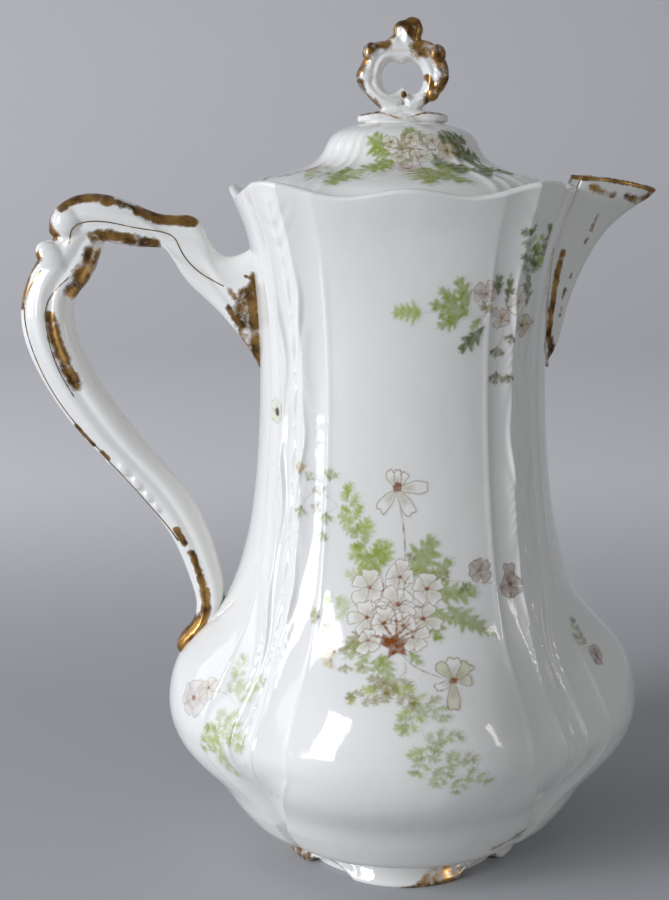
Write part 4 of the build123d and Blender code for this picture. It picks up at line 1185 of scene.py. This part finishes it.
def belly_spray():
    """Faint spray that trails over the corner of the belly."""
    spray = Spray(-26, 20, -26, 24)
    for base, tip, bow, pairs, spread, ink, strength in (
        ((-2, 3), (-3, 17), -1.0, 5, 5.5, grey_green, 0.5),
        ((2, 2), (9, 11), 1.5, 4, 5.5, pale_green, 0.5),
        ((0, -2), (8, -8), 1.0, 4, 6.0, pale_green, 0.6),
        ((-1, -6), (3, -19), -2.0, 5, 6.0, pale_green, 0.65),
        ((-2, -4), (-8, -13), 1.0, 4, 5.0, pale_green, 0.65),
        ((1, 0), (-6, -6), 1.0, 4, 4.4, fern_green, 0.55),
    ):
        spray.frond(base, tip, bow, pairs, spread, ink, strength)
    spray.line([(-14, 1), (-6, 4), (2, 2)], 0.25, line_brown, 0.5)
    spray.blossom((-15, 0), 6.4, 70, "#CFC4BC", 0.45, 0.8, 30, outline="#A08A80", flush=lilac)
    spray.blossom((-10.6, 4), 3.6, 20, "#DCD5BE", 0.4, outline="#A89878")
    return spray


belly_spray().lay("belly_spray_left", on_body(-143.0, 56.0), "pot")
belly_spray().lay("belly_spray_back", on_body(37.0, 56.0), "pot")

sprig = Spray(-8, 12, -10, 16)
sprig.frond((0, 0), (2, 11), 0.8, 4, 4.5, dark_green, 0.6)
sprig.blossom((3, -3), 4.2, 50, "#B9A6A0", 0.6, 0.7, 50, outline="#6A4A42", flush=lilac)
sprig.lay("side_sprig", on_body(-27.0, 69.0), "pot")
lone = Spray(-8, 9, -8, 8)
lone.blossom((0, 0), 4.2, 60, "#E3E4CC", 0.6, 0.9, 0, outline="#B9B79A", flush="#C3C9A0")
dark_eye = [(-1.5, 0), (-1, -0.9), (0.2, -1.2), (1.4, -0.8), (1.6, 0.3), (0.8, 1.1), (-0.9, 1.0)]
lone.wash(dark_eye, "#3A2416", 0.95, 0.4)
lone.lay("lone_blossom", on_body(-146.0, 138.7), "pot")
low = Spray(-8, 12, -6, 9)
low.leaf((0, 0), (6.4, 3.4), 3.4, 4, dark_green, 0.75)
low.leaf((0, 0), (-5.4, -1.6), 3.0, 3, olive, 0.7)
low.leaf((1.4, 0.4), (7.4, 0), 2.2, 3, fern_green, 0.6)
low.line([(-5, -1.4), (0, 0), (6, 3)], 0.24, dark_green, 0.7)
low.lay("low_sprig", on_body(-55.0, 16.5), "pot")
lid_steps = np.concatenate([[0], np.cumsum(np.linalg.norm(np.diff(lid_line, axis=0), axis=1))])


def on_lid(angle, reach):
    """Surface round a point of the lid, for drawings in mm to the right and up from it."""
    here = np.interp(reach, lid_line[:, 0], lid_steps)

    def place(x, y):
        lift = 0.07
        run = np.clip(here - y, 1, lid_steps[-1])
        a = angle + np.degrees(x / reach)
        r, z = (np.interp(run, lid_steps, column) for column in lid_line.T)
        over, up = (np.interp(run, lid_steps, column) for column in np.abs(outward).T)
        rise = lid_flutes(a % 90 - 45, r) + lift
        return around(plain_reach(r, r * lid_lobing(r), a) + over * rise, a, z + up * rise)

    return place


def lid_spray():
    """Spray over the front of the lid, from the finial down to the brim."""
    spray = Spray(-24, 28, -24, 13)
    for base, tip, width, cuts, ink, strength in (
        ((-5, 3), (-12.6, 6.4), 6.4, 4, fern_green, 0.95),
        ((-4, -1), (-11.6, -7.4), 6.6, 5, fern_green, 0.95),
        ((-10, -6), (-17, -11.4), 5.4, 4, fern_green, 0.95),
        ((-10.4, -7), (-13.8, -18), 5.6, 5, fern_green, 0.95),
        ((3.6, -4), (2.6, -17.6), 7.0, 6, fern_green, 0.95),
        ((4, -6), (9.2, -17), 5.2, 5, fern_green, 0.95),
        ((6, -2), (11.6, -8.4), 6.0, 4, fern_green, 0.95),
        ((9, 3), (19.4, 6.6), 7.4, 5, dark_green, 0.95),
        ((12, 2), (22.6, -0.4), 6.6, 5, dark_green, 0.95), ((10, -2), (17, -13), 5.6, 5, dark_green, 0.9),
        ((16, -2), (23.4, -12), 5.2, 5, dark_green, 0.9),
        ((-2, 7), (2.6, 10.8), 4.2, 3, fern_green, 0.85), ((-3.4, 1.4), (1.4, 8.4), 4.4, 4, olive, 0.75),
        ((2, 3.6), (-2.4, -3.4), 4.0, 4, olive, 0.7), ((6, 2.4), (3.4, 9.0), 3.8, 4, olive, 0.7),
        ((6.6, 1.6), (9.4, -4.2), 3.8, 4, dark_green, 0.75),
        ((-4.6, 1.4), (-10.4, 1.4), 4.0, 4, fern_green, 0.85),
        ((10, 4), (14, 9.4), 3.8, 4, dark_green, 0.8),
    ):
        spray.leaf(base, tip, 1.3 * width, cuts, ink, strength, dark_green)
    look = {"outline": "#7C5A34", "weight": 0.26, "flush": "#A9A26C"}
    for x, y, size, turn in (
        (-5.4, 5.0, 3.4, 90), (1.0, 6.4, 3.4, 10), (7.4, 5.4, 3.6, 40), (3.4, 0.6, 4.0, 70),
        (-2.6, 0.4, 3.2, 160),
    ):
        spray.blossom((x, y), 0.85 * size, turn, "#E9E6D6", 0.75, 0.85, **look)
    for marks in (
        [(-12, -6), (-6, -0.6), (-1, 3.0), (5, 2.6), (12, 3.4)], [(1.6, 3.2), (2.6, -3), (2.4, -9)],
        [(5, 2.6), (11, -2), (16, -9)], [(-1, 3.0), (-5, 3.4), (-10, 5)], [(12, 3.4), (16, 5), (20, 4)],
    ):
        spray.line(marks, 0.4, line_brown, 0.8)
    spray.blossom((-0.6, -5.4), 3.4, 30, "#CDB9B4", 0.6, outline="#8A5A48", flush=lilac)
    spray.blossom((11.6, 2.4), 3.0, 80, "#D6C8A4", 0.7, outline="#8A5A3C")
    return spray


lid_spray().lay("lid_spray_front", on_lid(-88.0, 24.0), "lid")
lid_spray().lay("lid_spray_back", on_lid(92.0, 24.0), "lid")
left_lid = Spray(-14, 16, -12, 9)
left_lid.frond((4, 2), (-9, -6), 1.0, 5, 5.0, olive, 0.7)
left_lid.frond((5, 2), (10, -8), 1.0, 4, 5.0, pale_green, 0.7)
left_lid.blossom((3, 1), 3.6, 40, "#CFC0B4", 0.5, outline="#8A6650", flush=lilac)
left_lid.lay("lid_spray_left", on_lid(-152.0, 30.0), "lid")


# ---- Room ----
# Plain pale table and wall, a large soft window on the handle side and weak light all round.
floor_points = [
    (-3, -3, 0), (3, -3, 0), (3, 1.2, 0), (-3, 1.2, 0),
    (3, 1.6, 0.4), (-3, 1.6, 0.4), (3, 1.6, 3), (-3, 1.6, 3),
]
floor = solid("table_and_wall", floor_points, [(0, 1, 2, 3), (3, 2, 4, 5), (5, 4, 6, 7)])
floor_paint = bpy.data.materials.new("matt_pale_paper")
floor_paint.use_nodes = True
tree = floor_paint.node_tree
# The paper is greyer in front of the pot and pales towards the wall behind it.
depth = node(tree, "SeparateXYZ", {"Vector": node(tree, "TexCoord").outputs["Object"]}).outputs["Y"]
fade = {"Value": depth, "From Min": 0.12, "From Max": 0.6}
far = node(tree, "MapRange", fade, interpolation_type="SMOOTHSTEP").outputs["Result"]
papers = {"Factor": far, "A": tone("#AEAFB1"), "B": tone("#EAE9EB")}
paper = node(tree, "Mix", papers, data_type="RGBA").outputs["Result"]
tree.links.new(paper, tree.nodes["Principled BSDF"].inputs["Base Color"])
tree.nodes["Principled BSDF"].inputs["Roughness"].default_value = 0.8
floor.data.materials.append(floor_paint)


def lamp(name, place, aim, width, height, watts, colour):
    """Soft rectangular lamp at a place in metres, turned to face an aim."""
    made = bpy.data.objects.new(name, bpy.data.lights.new(name, "AREA"))
    bpy.context.collection.objects.link(made)
    made.data.shape = "RECTANGLE"
    made.data.size, made.data.size_y = width, height
    made.data.energy = watts
    made.data.color = tone(colour)[:3]
    made.location = place
    made.rotation_euler = (Vector(aim) - Vector(place)).to_track_quat("-Z", "Y").to_euler()


lamp("window", (-1.1, -0.74, 0.46), (0, 0, 0.1), 0.44, 0.9, 14.5, "#F4F7FF")
lamp("side_light", (-1.2, 0.35, 0.5), (-0.4, 0.9, 0.1), 0.8, 0.8, 3.4, "#F6F8FF")
lamp("far_window", (0.9, -0.5, 0.35), (0, 0, 0.1), 0.07, 0.3, 0.5, "#FFFDF8")
lamp("soft_fill", (1.2, -0.9, 0.7), (0, 0, 0.1), 1.2, 1.2, 1.1, "#FAFAFF")
world = bpy.data.worlds.new("pale_room")
bpy.context.scene.world = world
world.use_nodes = True
world.node_tree.nodes["Background"].inputs["Color"].default_value = tone("#D7DADF")
world.node_tree.nodes["Background"].inputs["Strength"].default_value = 0.33
bpy.context.scene.view_settings.view_transform = "Standard"
